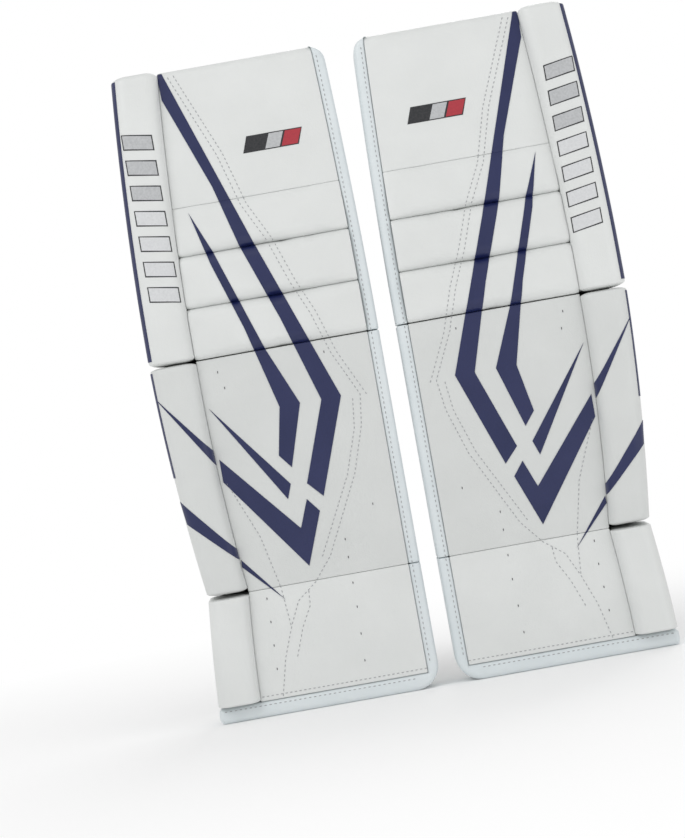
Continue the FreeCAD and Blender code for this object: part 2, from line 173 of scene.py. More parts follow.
def between(points, size, left, right, front, low, high, crown=0):
    """Stretches a block between two sides of the pad's outline, and bulges its front by crown."""
    across, depth, up = (points / np.array(size, float)).T
    bulge = crown * (1 - depth) * (1 - (2 * across - 1) ** 2) * (1 - (2 * up - 1) ** 2)
    y = front + points[:, 1] - bulge
    bottom = low(y) if callable(low) else low
    top = high(y) if callable(high) else high
    z = bottom + up * (top - bottom)
    x = left(z) + across * (right(z) - left(z))
    return np.stack((x, y, z), axis=1)


SIDES = {"left": 1, "right": -1}


def both_pads(name, points, faces, *materials, which=None, uv=None, sharp=50, sides=SIDES):
    """The same piece on both pads: as drawn on the left one, and its mirror image on the right."""
    pieces = {}
    for side, turn in sides.items():
        mesh = bpy.data.meshes.new(f"{side}.{name}")
        placed = (points + to_left_pad) * MM * (turn, 1, 1)
        rows = [tuple(int(i) for i in face)[::turn] for face in faces]
        mesh.from_pydata(placed.tolist(), [], rows)
        for material in materials:
            mesh.materials.append(material)
        if which is not None:
            mesh.polygons.foreach_set("material_index", np.asarray(which, np.int32))
        if uv is not None:
            layer = mesh.uv_layers.new(name="UVMap")
            corners = np.zeros(len(mesh.loops), np.int32)
            mesh.loops.foreach_get("vertex_index", corners)
            layer.data.foreach_set("uv", (uv[corners] * MM).astype(np.float32).ravel())
        mesh.shade_smooth()
        mesh.set_sharp_from_angle(angle=math.radians(sharp))
        pieces[side] = bpy.data.objects.new(mesh.name, mesh)
        bpy.context.scene.collection.objects.link(pieces[side])
    return pieces


def new_material(name, colour, roughness):
    """A material with a Principled shader. Returns it with its nodes, a linker and the shader."""
    material = bpy.data.materials.new(name)
    material.use_nodes = True
    nodes = material.node_tree.nodes
    shader = nodes["Principled BSDF"]
    shader.inputs["Base Color"].default_value = (*colour, 1)
    shader.inputs["Roughness"].default_value = roughness
    return material, nodes, material.node_tree.links.new, shader


def noise(nodes, link, scale, detail=3, source="Object"):
    """A noise on the piece's own coordinates, scale being ripples per metre."""
    place = nodes.new("ShaderNodeTexCoord")
    texture = nodes.new("ShaderNodeTexNoise")
    texture.inputs["Scale"].default_value = scale
    texture.inputs["Detail"].default_value = detail
    link(place.outputs[source], texture.inputs["Vector"])
    return texture.outputs["Fac"]


def spread(nodes, link, value, low, high):
    """Turns a noise into a number between low and high."""
    limits = nodes.new("ShaderNodeMapRange")
    limits.inputs["From Min"].default_value = 0.3
    limits.inputs["From Max"].default_value = 0.7
    limits.inputs["To Min"].default_value = low
    limits.inputs["To Max"].default_value = high
    link(value, limits.inputs["Value"])
    return limits.outputs["Result"]


def tint(nodes, link, value, first, second, shader):
    """Colours the shader between two colours by a number from 0 to 1."""
    mix = nodes.new("ShaderNodeMix")
    mix.data_type = "RGBA"
    mix.inputs["A"].default_value = (*first, 1)
    mix.inputs["B"].default_value = (*second, 1)
    link(value, mix.inputs["Factor"])
    link(mix.outputs["Result"], shader.inputs["Base Color"])


def relief(nodes, link, height, shader, depth_mm, strength=1.0):
    """Raises the surface by a height map whose full range is depth_mm."""
    bump = nodes.new("ShaderNodeBump")
    bump.inputs["Strength"].default_value = strength
    bump.inputs["Distance"].default_value = depth_mm * MM
    link(height, bump.inputs["Height"])
    link(bump.outputs["Normal"], shader.inputs["Normal"])


def foam_material():
    """Off-white closed-cell foam with fine cells."""
    foam, nodes, link, shader = new_material("closed_cell_foam", (0.62, 0.61, 0.57), 0.85)
    cells = noise(nodes, link, 900)
    tint(nodes, link, spread(nodes, link, cells, 0, 1), (0.66, 0.65, 0.61), (0.55, 0.54, 0.5), shader)
    relief(nodes, link, cells, shader, 0.3)
    return foam


def leather(name, colour, shade, roughness, grain_mm=0.12):
    """Smooth synthetic leather: a fine pebble grain, faint clouding and an uneven gloss."""
    material, nodes, link, shader = new_material(name, colour, roughness)
    clouds = noise(nodes, link, 14, detail=4)
    tint(nodes, link, spread(nodes, link, clouds, 0, 1), colour, shade, shader)
    gloss = noise(nodes, link, 45)
    link(spread(nodes, link, gloss, roughness - 0.06, roughness + 0.08), shader.inputs["Roughness"])
    place = nodes.new("ShaderNodeTexCoord")
    pebbles = nodes.new("ShaderNodeTexVoronoi")
    pebbles.inputs["Scale"].default_value = 620
    link(place.outputs["Object"], pebbles.inputs["Vector"])
    creases = noise(nodes, link, 170, detail=5)
    height = nodes.new("ShaderNodeMath")
    height.operation = "ADD"
    link(pebbles.outputs["Distance"], height.inputs[0])
    link(creases, height.inputs[1])
    relief(nodes, link, height.outputs["Value"], shader, grain_mm, 0.6)
    shader.inputs["Coat Weight"].default_value = 0.08
    shader.inputs["Coat Roughness"].default_value = 0.35
    return material


white = leather("white_leather", (0.72, 0.735, 0.725), (0.685, 0.70, 0.69), 0.42)


def boot_top(y):
    """The top of a boot piece: the ankle break falls away towards the front."""
    return ANKLE - ANKLE_GAP - np.clip(BREAK_DEPTH - y, 0, None) * np.tan(np.radians(ANKLE_NOTCH))


def shin_bottom(y):
    """The bottom of a shin piece: the ankle break rises towards the front."""
    return ANKLE + ANKLE_GAP + np.clip(BREAK_DEPTH - y, 0, None) * np.tan(np.radians(ANKLE_NOTCH))


foam = foam_material()
core_spans = {
    "thigh_core": ("upper", KNEE + CORE_GAP, TOP - SKIN, SKIN),
    "shin_core": ("shin", shin_bottom, KNEE - CORE_GAP, SKIN),
    "boot_core": ("boot", 21, boot_top, SKIN),
}
for name, (body, low, high, front) in core_spans.items():
    size = (200, CORE_BACK - front, 280)
    points, faces = stuffed_block(size, ((2, 2), (2, 2), (2, 2)), step=20)
    points = between(points, size, binding_seam, roll_seam, front, low, high)
    if name == "thigh_core":
        behind_rolls = points[:, 2] < KNEE_GROOVES[3] - 4
        points[:, 1] = np.where(behind_rolls, np.maximum(points[:, 1], ROLL_STEP), points[:, 1])
    covered = np.ptp(points[faces][:, :, 2], axis=1) < 1.5
    if name == "boot_core":
        covered = covered | (points[faces].mean(1)[:, 1] > CORE_BACK - 1)
    for side, piece in both_pads(name, stand(points), faces, foam, white, which=covered).items():
        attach(piece, f"{side}_{body}")
        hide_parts(f"{side}_{name}")

# ---- Thigh, shin and boot faces ---------------------------------------------------------------
# Smooth white synthetic leather, drawn tight over the cores. The thigh's cover turns over the top.
# The shin's and the boot's covers meet in a flat seam at the ankle.

FACE_CROWN = 1.2
THIGH_TOP_ROUND = 9
TOE_BAND = 19
KNEE_GAP = 0.4

front_panels = {}

# The thigh's cover is drawn as a flat strip whose length runs up the front and then back over
# the top, and then it is bent round that corner.
thigh_run = TOP - THIGH_TOP_ROUND - KNEE_GROOVES[3]
corner_run = THIGH_TOP_ROUND * math.pi / 2
over_run = CORE_BACK - THIGH_TOP_ROUND
size = (200, SKIN, thigh_run + corner_run + over_run)
points, faces = stuffed_block(size, ((1.6, 1.6), (1.6, 1.2), (1.2, 1.6)), step=4)
across, deep, run = points[:, 0] / size[0], points[:, 1], points[:, 2]
turn = np.clip((run - thigh_run) / THIGH_TOP_ROUND, 0, math.pi / 2)
back = np.clip(run - thigh_run - corner_run, 0, None)
z = KNEE_GROOVES[3] + np.minimum(run, thigh_run) + (THIGH_TOP_ROUND - deep) * np.sin(turn)
y = deep + (THIGH_TOP_ROUND - deep) * (1 - np.cos(turn)) + back
up = np.clip(run / thigh_run, 0, 1)
y = y - FACE_CROWN * (1 - (2 * across - 1) ** 2) * (1 - (2 * up - 1) ** 4) * (1 - deep / SKIN)
x = binding_seam(z) + SEAM_GAP + across * (roll_seam(z) - binding_seam(z) - 2 * SEAM_GAP)
front_panels["thigh_face"] = (stand(np.stack((x, y, z), axis=1)), faces, "upper")

for name, low, high in (
    ("shin_face", ANKLE + SEAM_GAP, KNEE - KNEE_GAP),
    ("boot_face", TOE_BAND + SEAM_GAP, ANKLE - SEAM_GAP),
):
    size = (200, SKIN, high - low)
    points, faces = stuffed_block(size, ((1.6, 1.6), (1.6, 1.2), (1.2, 1.2)), step=4)
    points = between(points, size, binding_seam, roll_seam, 0, low, high, FACE_CROWN)
    front_panels[name] = (stand(points), faces, "ankle")


def carry(piece, side, body):
    """The piece rides on a body of its pad, or, at the ankle, stays where it is drawn."""
    if body != "ankle":
        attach(piece, f"{side}_{body}")
        return
    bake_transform(piece)


# Painted shade: the shin's face and outer roll take a darker copy of the white leather, so that the
# shin reads darker than the thigh and the boot, as if it caught less light.
white_painted_shade = leather("white_leather_shin", (0.655, 0.67, 0.66), (0.625, 0.64, 0.63), 0.42)
for name in ("thigh_face", "shin_face", "boot_face"):
    cover = white_painted_shade if name == "shin_face" else white
    for side, piece in both_pads(name, *front_panels[name][:2], cover).items():
        carry(piece, side, front_panels[name][2])
        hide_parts(f"{side}_{name}")

# ---- Knee rolls -------------------------------------------------------------------------------
# Three flat rolls across the knee, each a leather tube stuffed with foam and sewn down along its
# upper and lower edges. They are swollen as cloth until they press on each other. The top one
# runs out flush with the thigh.

ROLL_PROUD = 7
ROLL_DEPTH = 34
ROLL_SQUEEZE = 3
ROLL_SWELL = 1.6
ROLL_FALL = 5.5
SWELL_STEPS = 20


def swollen(points, faces, voxel, pressure, cap):
    """Blows a closed cover up as cloth, each point moving at most cap. All in millimetres."""
    mesh = bpy.data.meshes.new("cover")
    mesh.from_pydata((points * MM).tolist(), [], [tuple(int(i) for i in face) for face in faces])
    cover = bpy.data.objects.new("cover", mesh)
    bpy.context.scene.collection.objects.link(cover)
    remesh = cover.modifiers.new("Remesh", "REMESH")
    remesh.mode = "VOXEL"
    remesh.voxel_size = voxel * MM
    graph = bpy.context.evaluated_depsgraph_get()
    even = bpy.data.meshes.new_from_object(cover.evaluated_get(graph))
    cover.modifiers.clear()
    cover.data = even
    rest = np.zeros(len(even.vertices) * 3)
    even.vertices.foreach_get("co", rest)
    rest = rest.reshape(-1, 3)
    cloth = cover.modifiers.new("Cloth", "CLOTH")
    cloth.settings.use_pressure = True
    cloth.settings.uniform_pressure_force = pressure
    cloth.settings.effector_weights.gravity = 0
    cloth.settings.quality = 5
    for frame_number in range(1, SWELL_STEPS + 1):
        bpy.context.scene.frame_set(frame_number)
    graph = bpy.context.evaluated_depsgraph_get()
    blown = bpy.data.meshes.new_from_object(cover.evaluated_get(graph))
    moved = np.zeros(len(blown.vertices) * 3)
    blown.vertices.foreach_get("co", moved)
    away = moved.reshape(-1, 3) - rest
    far = np.linalg.norm(away, axis=1, keepdims=True)
    soft_cap = cap * MM * np.tanh(far / (cap * MM))
    placed = rest + away * soft_cap / np.maximum(far, 1e-9)
    blown.vertices.foreach_set("co", placed.ravel())
    cover.modifiers.clear()
    cover.data = blown
    finer = cover.modifiers.new("Subdivision", "SUBSURF")
    finer.levels = 1
    finer.render_levels = 1
    graph = bpy.context.evaluated_depsgraph_get()
    smooth = bpy.data.meshes.new_from_object(cover.evaluated_get(graph))
    result = np.zeros(len(smooth.vertices) * 3)
    smooth.vertices.foreach_get("co", result)
    rows = [tuple(face.vertices) for face in smooth.polygons]
    bpy.data.objects.remove(cover)
    bpy.context.scene.frame_set(1)
    return result.reshape(-1, 3) / MM, rows


for count in (1, 2, 3):
    low = KNEE_GROOVES[3 - count] + (0.3 if count == 3 else 0.05)
    high = KNEE_GROOVES[4 - count] - 0.05
    size = (206, ROLL_DEPTH, high - low)
    squeeze_top, top_round = (4, 2) if count == 1 else (1, 8)
    points, faces = stuffed_block(size, ((3, 3), (7, 3), (8, top_round)), step=4)
    points = between(
        points,
        size,
        lambda z: binding_seam(z) - ROLL_SQUEEZE,
        lambda z: roll_seam(z) + ROLL_SQUEEZE,
        1 - ROLL_PROUD,
        low - 1,
        high + squeeze_top,
        0.8,
    )
    points, faces = swollen(points, faces, 4.5, 4, 2.4)
    x, y, z = points.T
    y = np.clip(y, -ROLL_PROUD - ROLL_SWELL, ROLL_STEP - 1.2)
    x = np.clip(x, binding_seam(z) + SEAM_GAP, roll_seam(z) - SEAM_GAP)
    z = np.clip(z, low, high)
    if count == 1:
        up = np.clip((z - low) / (high - low), 0, 1)
        y = y + ROLL_FALL * up * np.clip(1 - (y + ROLL_PROUD) / ROLL_DEPTH, 0, 1)
    points = np.stack((x, y, z), axis=1)
    front_panels[f"knee_roll_{count}"] = (stand(points), faces, "upper")
    for side, piece in both_pads(f"knee_roll_{count}", stand(points), faces, white).items():
        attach(piece, f"{side}_upper")
        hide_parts(f"{side}_knee_roll_{count}")

# ---- Outer roll -------------------------------------------------------------------------------
# A stuffed leather roll down the outer side of the pad. It stands proud of the face, and is broken
# at the knee and at the ankle so that the pad can bend.

OUTER_PROUD = 16
ROLL_GAP = 0.8


def roll_top(y):
    """The top of the outer roll, which tips back with the thigh."""
    return TOP + 2.2 - 0.05 * (y + OUTER_PROUD)


roll_spans = {
    "outer_roll_upper": ("upper", KNEE + ROLL_GAP, roll_top, (4, 6)),
    "outer_roll_shin": ("shin", shin_bottom, KNEE - ROLL_GAP, (4, 4)),
    "outer_roll_boot": ("boot", TOE_BAND + 0.5, boot_top, (5, 4)),
}
for name, (body, low, high, ends) in roll_spans.items():
    size = (54, CORE_BACK + OUTER_PROUD, 300)
    points, faces = stuffed_block(size, ((15, 17), (15, 5), ends), step=5)
    points = between(points, size, roll_seam, outer_edge, -OUTER_PROUD, low, high)
    front_panels[name] = (stand(points), faces, body)
    # The shin's roll takes the darker copy of the white leather: painted shade.
    cover = white_painted_shade if body == "shin" else white
    for side, piece in both_pads(name, stand(points), faces, cover).items():
        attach(piece, f"{side}_{body}")
        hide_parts(f"{side}_{name}")

# ---- Inner edge and binding -------------------------------------------------------------------
# A folded leather tape, a shade bluer than the face, sewn down the inner edge and round the toe.
# It is broken at the knee and runs on over the ankle.

BINDING_PROUD = 1.5
TOP_CORNER = 18
TOE_CORNER = 30


def along(points, size, outside, inside):
    """Runs a straight strip between two edges, each a list of (x, z) places, row for row."""
    steps = np.linalg.norm(np.diff(outside, axis=0), axis=1)
    travel = np.concatenate(((0,), np.cumsum(steps)))
    place = points[:, 2] / size[2] * travel[-1]
    across = points[:, 0] / size[0]
    x, z = [
        np.interp(place, travel, outside[:, axis]) * (1 - across)
        + np.interp(place, travel, inside[:, axis]) * across
        for axis in (0, 1)
    ]
    return np.stack((x, points[:, 1] - BINDING_PROUD, z), axis=1)


tape = leather("white_binding", (0.71, 0.755, 0.77), (0.655, 0.71, 0.73), 0.38)
edge_depth = CORE_BACK + BINDING_PROUD
edge_rounds = ((6, 4.5), (6, 2), (1.2, 1.2))
rise = np.linspace(KNEE + KNEE_GAP, TOP, 90)
from_side = np.clip(TOP_CORNER - np.clip(rise - (TOP - TOP_CORNER), 0, None), 0, None)
corner = TOP_CORNER - np.sqrt(TOP_CORNER**2 - (TOP_CORNER - from_side) ** 2)
climb = np.linspace(ANKLE + SEAM_GAP, KNEE - KNEE_GAP, 70)
toe_turn = np.radians(np.linspace(90, 0, 25))
toe_x = inner_edge(0) + TOE_CORNER - TOE_CORNER * np.cos(toe_turn)
toe_z = TOE_CORNER - TOE_CORNER * np.sin(toe_turn)
toe_start = np.linspace(outer_edge(0), inner_edge(0) + TOE_CORNER + 2, 40)
toe_end = np.linspace(TOE_CORNER + 2, ANKLE - SEAM_GAP, 30)
toe_outside = np.concatenate((
    np.stack((toe_start, np.zeros(40)), axis=1),
    np.stack((toe_x, toe_z), axis=1),
    np.stack((np.full(30, inner_edge(0)), toe_end), axis=1),
))
toe_inside = np.stack((
    np.maximum(toe_outside[:, 0], binding_seam(0)),
    np.maximum(toe_outside[:, 1], TOE_BAND),
), axis=1)
edges = {
    "inner_edge_upper": (
        "upper",
        np.stack((inner_edge(rise) + corner, rise), axis=1),
        np.stack((binding_seam(rise), rise - 0.4 * (corner > 0)), axis=1),
    ),
    "inner_edge_shin": (
        "ankle",
        np.stack((inner_edge(climb), climb), axis=1),
        np.stack((binding_seam(climb), climb), axis=1),
    ),
    "boot_binding": ("ankle", toe_outside, toe_inside),
}
for name, (body, outside, inside) in edges.items():
    length = np.linalg.norm(np.diff(outside, axis=0), axis=1).sum()
    size = (BINDING_WIDTH, edge_depth, length)
    toe_end_round = 6 if name == "boot_binding" else 1.2
    points, faces = stuffed_block(size, (*edge_rounds[:2], (toe_end_round, 1.2)), step=4)
    front_panels[name] = (stand(along(points, size, outside, inside)), faces, body)
    for side, piece in both_pads(name, *front_panels[name][:2], tape).items():
        carry(piece, side, body)
        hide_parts(f"{side}_{name}")

# ---- Navy inlays ------------------------------------------------------------------------------
# Bands of navy synthetic leather let into the covers, in a long chevron down each pad. Each cover
# carries its own lengths, cut to the cover's edges so that they follow it into the creases.

INLAY_PROUD = 0.6
BANDS = {
    "long_band": (
        (71, 784), (70, 752), (57, 717), (28, 638), (8, 561.5), (-25.5, 467), (-57, 362.5),
        (-22.5, 266.5), (-39.5, 248), (-81, 363), (-10, 561.5), (65, 784),
    ),
    "low_chevron": (
        (76.3, 312.7), (-6, 214.6), (-19, 248), (-32, 231.3), (-8, 168.4), (76.3, 285),
    ),
    "low_chevron_end": ((79, 321), (79, 303.4), (139, 398)),
    "short_band": (
        (61.5, 611), (45.8, 546), (19, 462.5), (-6, 362.5), (5, 305), (-8, 288.5),
        (-31, 363), (-2, 432), (41, 561.5),
    ),
    "thin_band": ((78, 375), (-3.2, 269.2), (3.2, 251.6)),
    "roll_band": ((131, 271), (127, 243), (71.7, 188.7), (73.5, 202.6)),
    "roll_band_end": ((71.7, 189.6), (71.7, 180.4), (27.3, 134)),
}


def clipped(outline, window):
    """The part of an outline inside a four-sided window, both lists of (x, z)."""
    kept = list(outline)
    for start, end in zip(window, window[1:] + window[:1]):
        along_x, along_z = end[0] - start[0], end[1] - start[1]
        sides = [along_x * (z - start[1]) - along_z * (x - start[0]) for x, z in kept]
        fresh = []
        for count, place in enumerate(kept):
            before, was, now = kept[count - 1], sides[count - 1], sides[count]
            if (was < 0) != (now < 0):
                share = was / (was - now)
                fresh.append(tuple(b + share * (p - b) for b, p in zip(before, place)))
            if now >= 0:
                fresh.append(place)
        kept = fresh
        if len(kept) < 3:
            return []
    return kept


def inlaid(outlines, points, faces, proud, sunk=0.5):
    """Raised closed inlays that lie on a panel's front inside the outlines."""
    skin = bmesh.new()
    quads = points[np.array([tuple(face) for face in faces])]
    normals = np.cross(quads[:, 2] - quads[:, 0], quads[:, 3] - quads[:, 1])
    in_front = normals[:, 1] < -0.12 * np.linalg.norm(normals, axis=1)
    low, high = quads[:, :, (0, 2)].min(1), quads[:, :, (0, 2)].max(1)
    for outline in outlines:
        least, most = np.min(outline, axis=0), np.max(outline, axis=0)
        near = in_front & (high >= least).all(1) & (low <= most).all(1)
        for corners, normal in zip(quads[near], normals[near]):
            centre = corners.mean(0)
            kept = clipped(outline, [(x, z) for x, _, z in corners])
            if len(kept) < 3:
                continue
            depth = [
                centre[1] - (normal[0] * (x - centre[0]) + normal[2] * (z - centre[2])) / normal[1]
                for x, z in kept
            ]
            ring = [skin.verts.new((x, y, z)) for (x, z), y in zip(kept, depth)]
            skin.faces.new(ring)
    bmesh.ops.remove_doubles(skin, verts=skin.verts, dist=0.12)
    bmesh.ops.dissolve_degenerate(skin, edges=skin.edges, dist=0.05)
    for face in skin.faces:
        face.normal_update()
        if face.normal.y > 0:
            face.normal_flip()
    skin.normal_update()
    normals = {vert: vert.normal.copy() for vert in skin.verts}
    under = {vert: skin.verts.new(vert.co - normals[vert] * sunk) for vert in list(normals)}
    rim = [edge for edge in skin.edges if len(edge.link_faces) == 1]
    top = list(skin.faces)
    for vert, normal in normals.items():
        vert.co += normal * proud
    for face in top:
        skin.faces.new([under[vert] for vert in reversed(face.verts)])
    for edge in rim:
        loop = edge.link_faces[0].loops[0]
        while loop.edge != edge:
            loop = loop.link_loop_next
        first, second = loop.vert, loop.link_loop_next.vert
        skin.faces.new((second, first, under[first], under[second]))
    skin.verts.index_update()
    made = np.array([vert.co[:] for vert in skin.verts]).reshape(-1, 3)
    rows = [tuple(vert.index for vert in face.verts) for face in skin.faces]
    skin.free()
    return made, rows


def inlays(name, outlines, material, proud, panels, sides=SIDES):
    """The same outlines on every named panel that they cross, on both pads or on one."""
    for panel in panels:
        points, faces, body = front_panels[panel]
        made, rows = inlaid(outlines, points, faces, proud)
        if not rows:
            continue
        pieces = both_pads(f"{name}_{panel}", made, rows, material, sharp=35, sides=sides)
        for side, piece in pieces.items():
            carry(piece, side, body)


navy = leather("navy_leather", (0.006, 0.012, 0.07), (0.012, 0.018, 0.085), 0.4)
faces_only = ("thigh_face", "knee_roll_1", "knee_roll_2", "knee_roll_3", "shin_face", "boot_face")
rolls_only = ("outer_roll_upper", "outer_roll_shin", "outer_roll_boot")
for name in ("long_band", "short_band", "thin_band", "low_chevron", "roll_band_end"):
    inlays(name, [BANDS[name]], navy, INLAY_PROUD, faces_only)
for name in ("low_chevron_end", "roll_band"):
    inlays(name, [BANDS[name]], navy, INLAY_PROUD, rolls_only)
for panel, low, high, width in (("outer_roll_upper", 442, 782, 5), ("outer_roll_shin", 300, 428, 2.5)):
    heights = np.linspace(low, high, 24)
    near = [(outer_edge(z) - width, z) for z in heights]
    far = [(outer_edge(z) + 3, z) for z in heights[::-1]]
    inlays("side_strip", [near + far], navy, INLAY_PROUD, (panel,))

# ---- Printed marks ----------------------------------------------------------------------------
# A column of plain slanted bars up the outer roll and a small slanted badge on the thigh. Both
# are thin vinyl, a grey or red patch on a darker one. They carry no lettering.

BAR_COUNT = 7
BAR_PITCH = 31
BAR_LOW = 506
BAR_SIDES = (88, 125)
BAR_HEIGHT = 19
BAR_SLANT = 6
BADGE_LOW = 671
BADGE_HEIGHT = 20
BADGE_CUTS = (-84, -58, -38, -16)


def slanted(left, right, low, height, slant, margin=0.0):
    """A leaning bar's outline, drawn in by a margin."""
    return (
        (left + margin, low + margin),
        (right - margin, low + slant + margin),
        (right - margin, low + slant + height - margin),
        (left + margin, low + height - margin),
    )


def leaning(left, right, low, height, way, margin=0.0):
    """A badge patch's outline, whose sides lean over as they rise."""
    lean = height * 0.35 * way
    return (
        (left + margin, low + margin),
        (right - margin, low + margin),
        (right + lean - margin, low + height - margin),
        (left + lean + margin, low + height - margin),
    )


def vinyl(name, colour, shade):
    """Thin matt vinyl, a little mottled."""
    film, nodes, link, shader = new_material(name, colour, 0.5)
    specks = noise(nodes, link, 400, detail=2)
    tint(nodes, link, spread(nodes, link, specks, 0, 1), colour, shade, shader)
    relief(nodes, link, specks, shader, 0.05)
    return film


dark_vinyl = vinyl("dark_vinyl", (0.012, 0.014, 0.016), (0.03, 0.03, 0.034))
grey_vinyl = vinyl("grey_vinyl", (0.42, 0.43, 0.44), (0.5, 0.51, 0.52))
pale_vinyl = vinyl("pale_vinyl", (0.66, 0.67, 0.68), (0.6, 0.61, 0.62))
red_vinyl = vinyl("red_vinyl", (0.42, 0.03, 0.045), (0.36, 0.025, 0.04))
bar_lows = [BAR_LOW + BAR_PITCH * count for count in range(BAR_COUNT)]
roll = ("outer_roll_upper",)
shadows = [slanted(*BAR_SIDES, low, BAR_HEIGHT, BAR_SLANT) for low in bar_lows]
patches = [slanted(*BAR_SIDES, low, BAR_HEIGHT, BAR_SLANT, 1.4) for low in bar_lows]
inlays("bar_edges", shadows, dark_vinyl, 0.3, roll)
inlays("bars_low", patches[:4], pale_vinyl, 0.5, roll)
inlays("bars_high", patches[4:], grey_vinyl, 0.5, roll)
thigh = ("thigh_face",)
for side, way in SIDES.items():
    middle = sum(BADGE_CUTS[::3]) / 2
    cuts = [middle + way * (cut - middle) for cut in BADGE_CUTS]
    one = {side: way}
    badge = leaning(min(cuts), max(cuts), BADGE_LOW, BADGE_HEIGHT, way)
    inlays("badge_edge", [badge], dark_vinyl, 0.3, thigh, one)
    for name, film, start in (("badge_grey", grey_vinyl, 1), ("badge_red", red_vinyl, 2)):
        left, right = sorted(cuts[start:start + 2])
        patch = leaning(left, right, BADGE_LOW, BADGE_HEIGHT, way, 1.2)
        inlays(name, [patch], film, 0.5, thigh, one)

# ---- Stitched seams ---------------------------------------------------------------------------
# Lines of white thread that quilt the covers to the foam. Every stitch is a short thread that
# lies on the cover, a few millimetres from the next.

STITCH_PITCH = 5.6
STITCH_LENGTH = 3.2
THREAD = 1.1
SEAMS = (
    (
        (58, 777), (16, 675), (-2, 610.5), (-25, 564), (-44, 509), (-62, 467), (-78, 416),
        (-104, 361), (-99, 324), (-81, 268), (-58, 222), (-35, 176), (-12, 148), (12, 129.5),
        (25, 102), (39, 65), (49, 23),
    ),
    ((72, 282), (44, 213), (30, 148), (26, 104)),
    (
        (51, 778), (9, 676), (-9, 611), (-32, 564.5), (-51, 509.5), (-69, 467.5), (-85, 416),
        (-111, 361),
    ),
    ((-94, 356), (-90, 322), (-72, 268), (-49, 223), (-26, 178)),
    ((-2, 138), (-1, 122), (12, 98), (24, 66)),
    ((-124, 24.5), (73, 24.5)),
)
TACKS = (
    (-56, 194), (-56, 172), (-56, 141), (-56, 112), (-55, 80), (-54, 48),
    (49, 140), (49, 112), (50, 84), (51, 56), (60, 418), (55, 398), (-70, 420), (-96, 230),
)


def smooth_line(corners, pitch):
    """Evenly spaced places along a line through its corners."""
    corners = np.array(corners, float)
    travel = np.concatenate(((0,), np.cumsum(np.linalg.norm(np.diff(corners, axis=0), axis=1))))
    place = np.linspace(0, travel[-1], max(2, round(travel[-1] / pitch)))
    return np.stack([np.interp(place, travel, corners[:, axis]) for axis in (0, 1)], axis=1)


def thread_tree():
    """The tree of nodes that lays a short thread every so often along each line."""
    tree = bpy.data.node_groups.new("stitches", "GeometryNodeTree")
    for socket, kind, way in (
        ("Geometry", "NodeSocketGeometry", "INPUT"),
        ("Pitch", "NodeSocketFloat", "INPUT"),
        ("Thread", "NodeSocketObject", "INPUT"),
        ("Material", "NodeSocketMaterial", "INPUT"),
        ("Geometry", "NodeSocketGeometry", "OUTPUT"),
    ):
        tree.interface.new_socket(socket, in_out=way, socket_type=kind)
    nodes, link = tree.nodes, tree.links.new
    given = nodes.new("NodeGroupInput")
    curve = nodes.new("GeometryNodeMeshToCurve")
    points = nodes.new("GeometryNodeCurveToPoints")
    points.mode = "LENGTH"
    model = nodes.new("GeometryNodeObjectInfo")
    copies = nodes.new("GeometryNodeInstanceOnPoints")
    real = nodes.new("GeometryNodeRealizeInstances")
    paint = nodes.new("GeometryNodeSetMaterial")
    out = nodes.new("NodeGroupOutput")
    link(given.outputs["Geometry"], curve.inputs["Mesh"])
    link(curve.outputs["Curve"], points.inputs["Curve"])
    link(given.outputs["Pitch"], points.inputs["Length"])
    link(given.outputs["Thread"], model.inputs["Object"])
    link(points.outputs["Points"], copies.inputs["Points"])
    link(points.outputs["Rotation"], copies.inputs["Rotation"])
    link(model.outputs["Geometry"], copies.inputs["Instance"])
    link(copies.outputs["Instances"], real.inputs["Geometry"])
    link(real.outputs["Geometry"], paint.inputs["Geometry"])
    link(given.outputs["Material"], paint.inputs["Material"])
    link(paint.outputs["Geometry"], out.inputs["Geometry"])
    return tree


def stitched(name, places, edges, body, thread, material, pitch):
    """Lays stitches along lines given as places and the edges between them, on both pads."""
    for side, turn in SIDES.items():
        mesh = bpy.data.meshes.new(f"{side}.{name}")
        mesh.from_pydata(((places + to_left_pad) * MM * (turn, 1, 1)).tolist(), edges, [])
        piece = bpy.data.objects.new(mesh.name, mesh)
        bpy.context.scene.collection.objects.link(piece)
        modifier = piece.modifiers.new("Stitches", "NODES")
        modifier.node_group = stitch_tree
        values = {"Pitch": pitch * MM, "Thread": thread, "Material": material}
        for item in stitch_tree.interface.items_tree:
            if item.in_out == "INPUT" and item.name in values:
                modifier[item.identifier] = values[item.name]
        graph = bpy.context.evaluated_depsgraph_get()
        plain = bpy.data.meshes.new_from_object(piece.evaluated_get(graph))
        piece.modifiers.clear()
        piece.data = plain
        plain.name = piece.name
        carry(piece, side, body)


def sewn(name, lines, panel, thread, material, pitch):
    """Lays stitches along flat lines, where they cross one panel's front."""
    points, faces, body = front_panels[panel]
    cover = BVHTree.FromPolygons(points.tolist(), [list(map(int, face)) for face in faces])
    places, edges = [], []
    for line in lines:
        last = None
        for x, z in smooth_line(line, 2.5):
            hit, normal, _, _ = cover.ray_cast(Vector((x, -60, z)), Vector((0, 1, 0)))
            if hit is None or normal.y > -0.5:
                last = None
                continue
            places.append(hit + normal * 0.12)
            if last is not None:
                edges.append((last, len(places) - 1))
            last = len(places) - 1
    if edges:
        made = np.array([place[:] for place in places])
        stitched(f"{name}_{panel}", made, edges, body, thread, material, pitch)


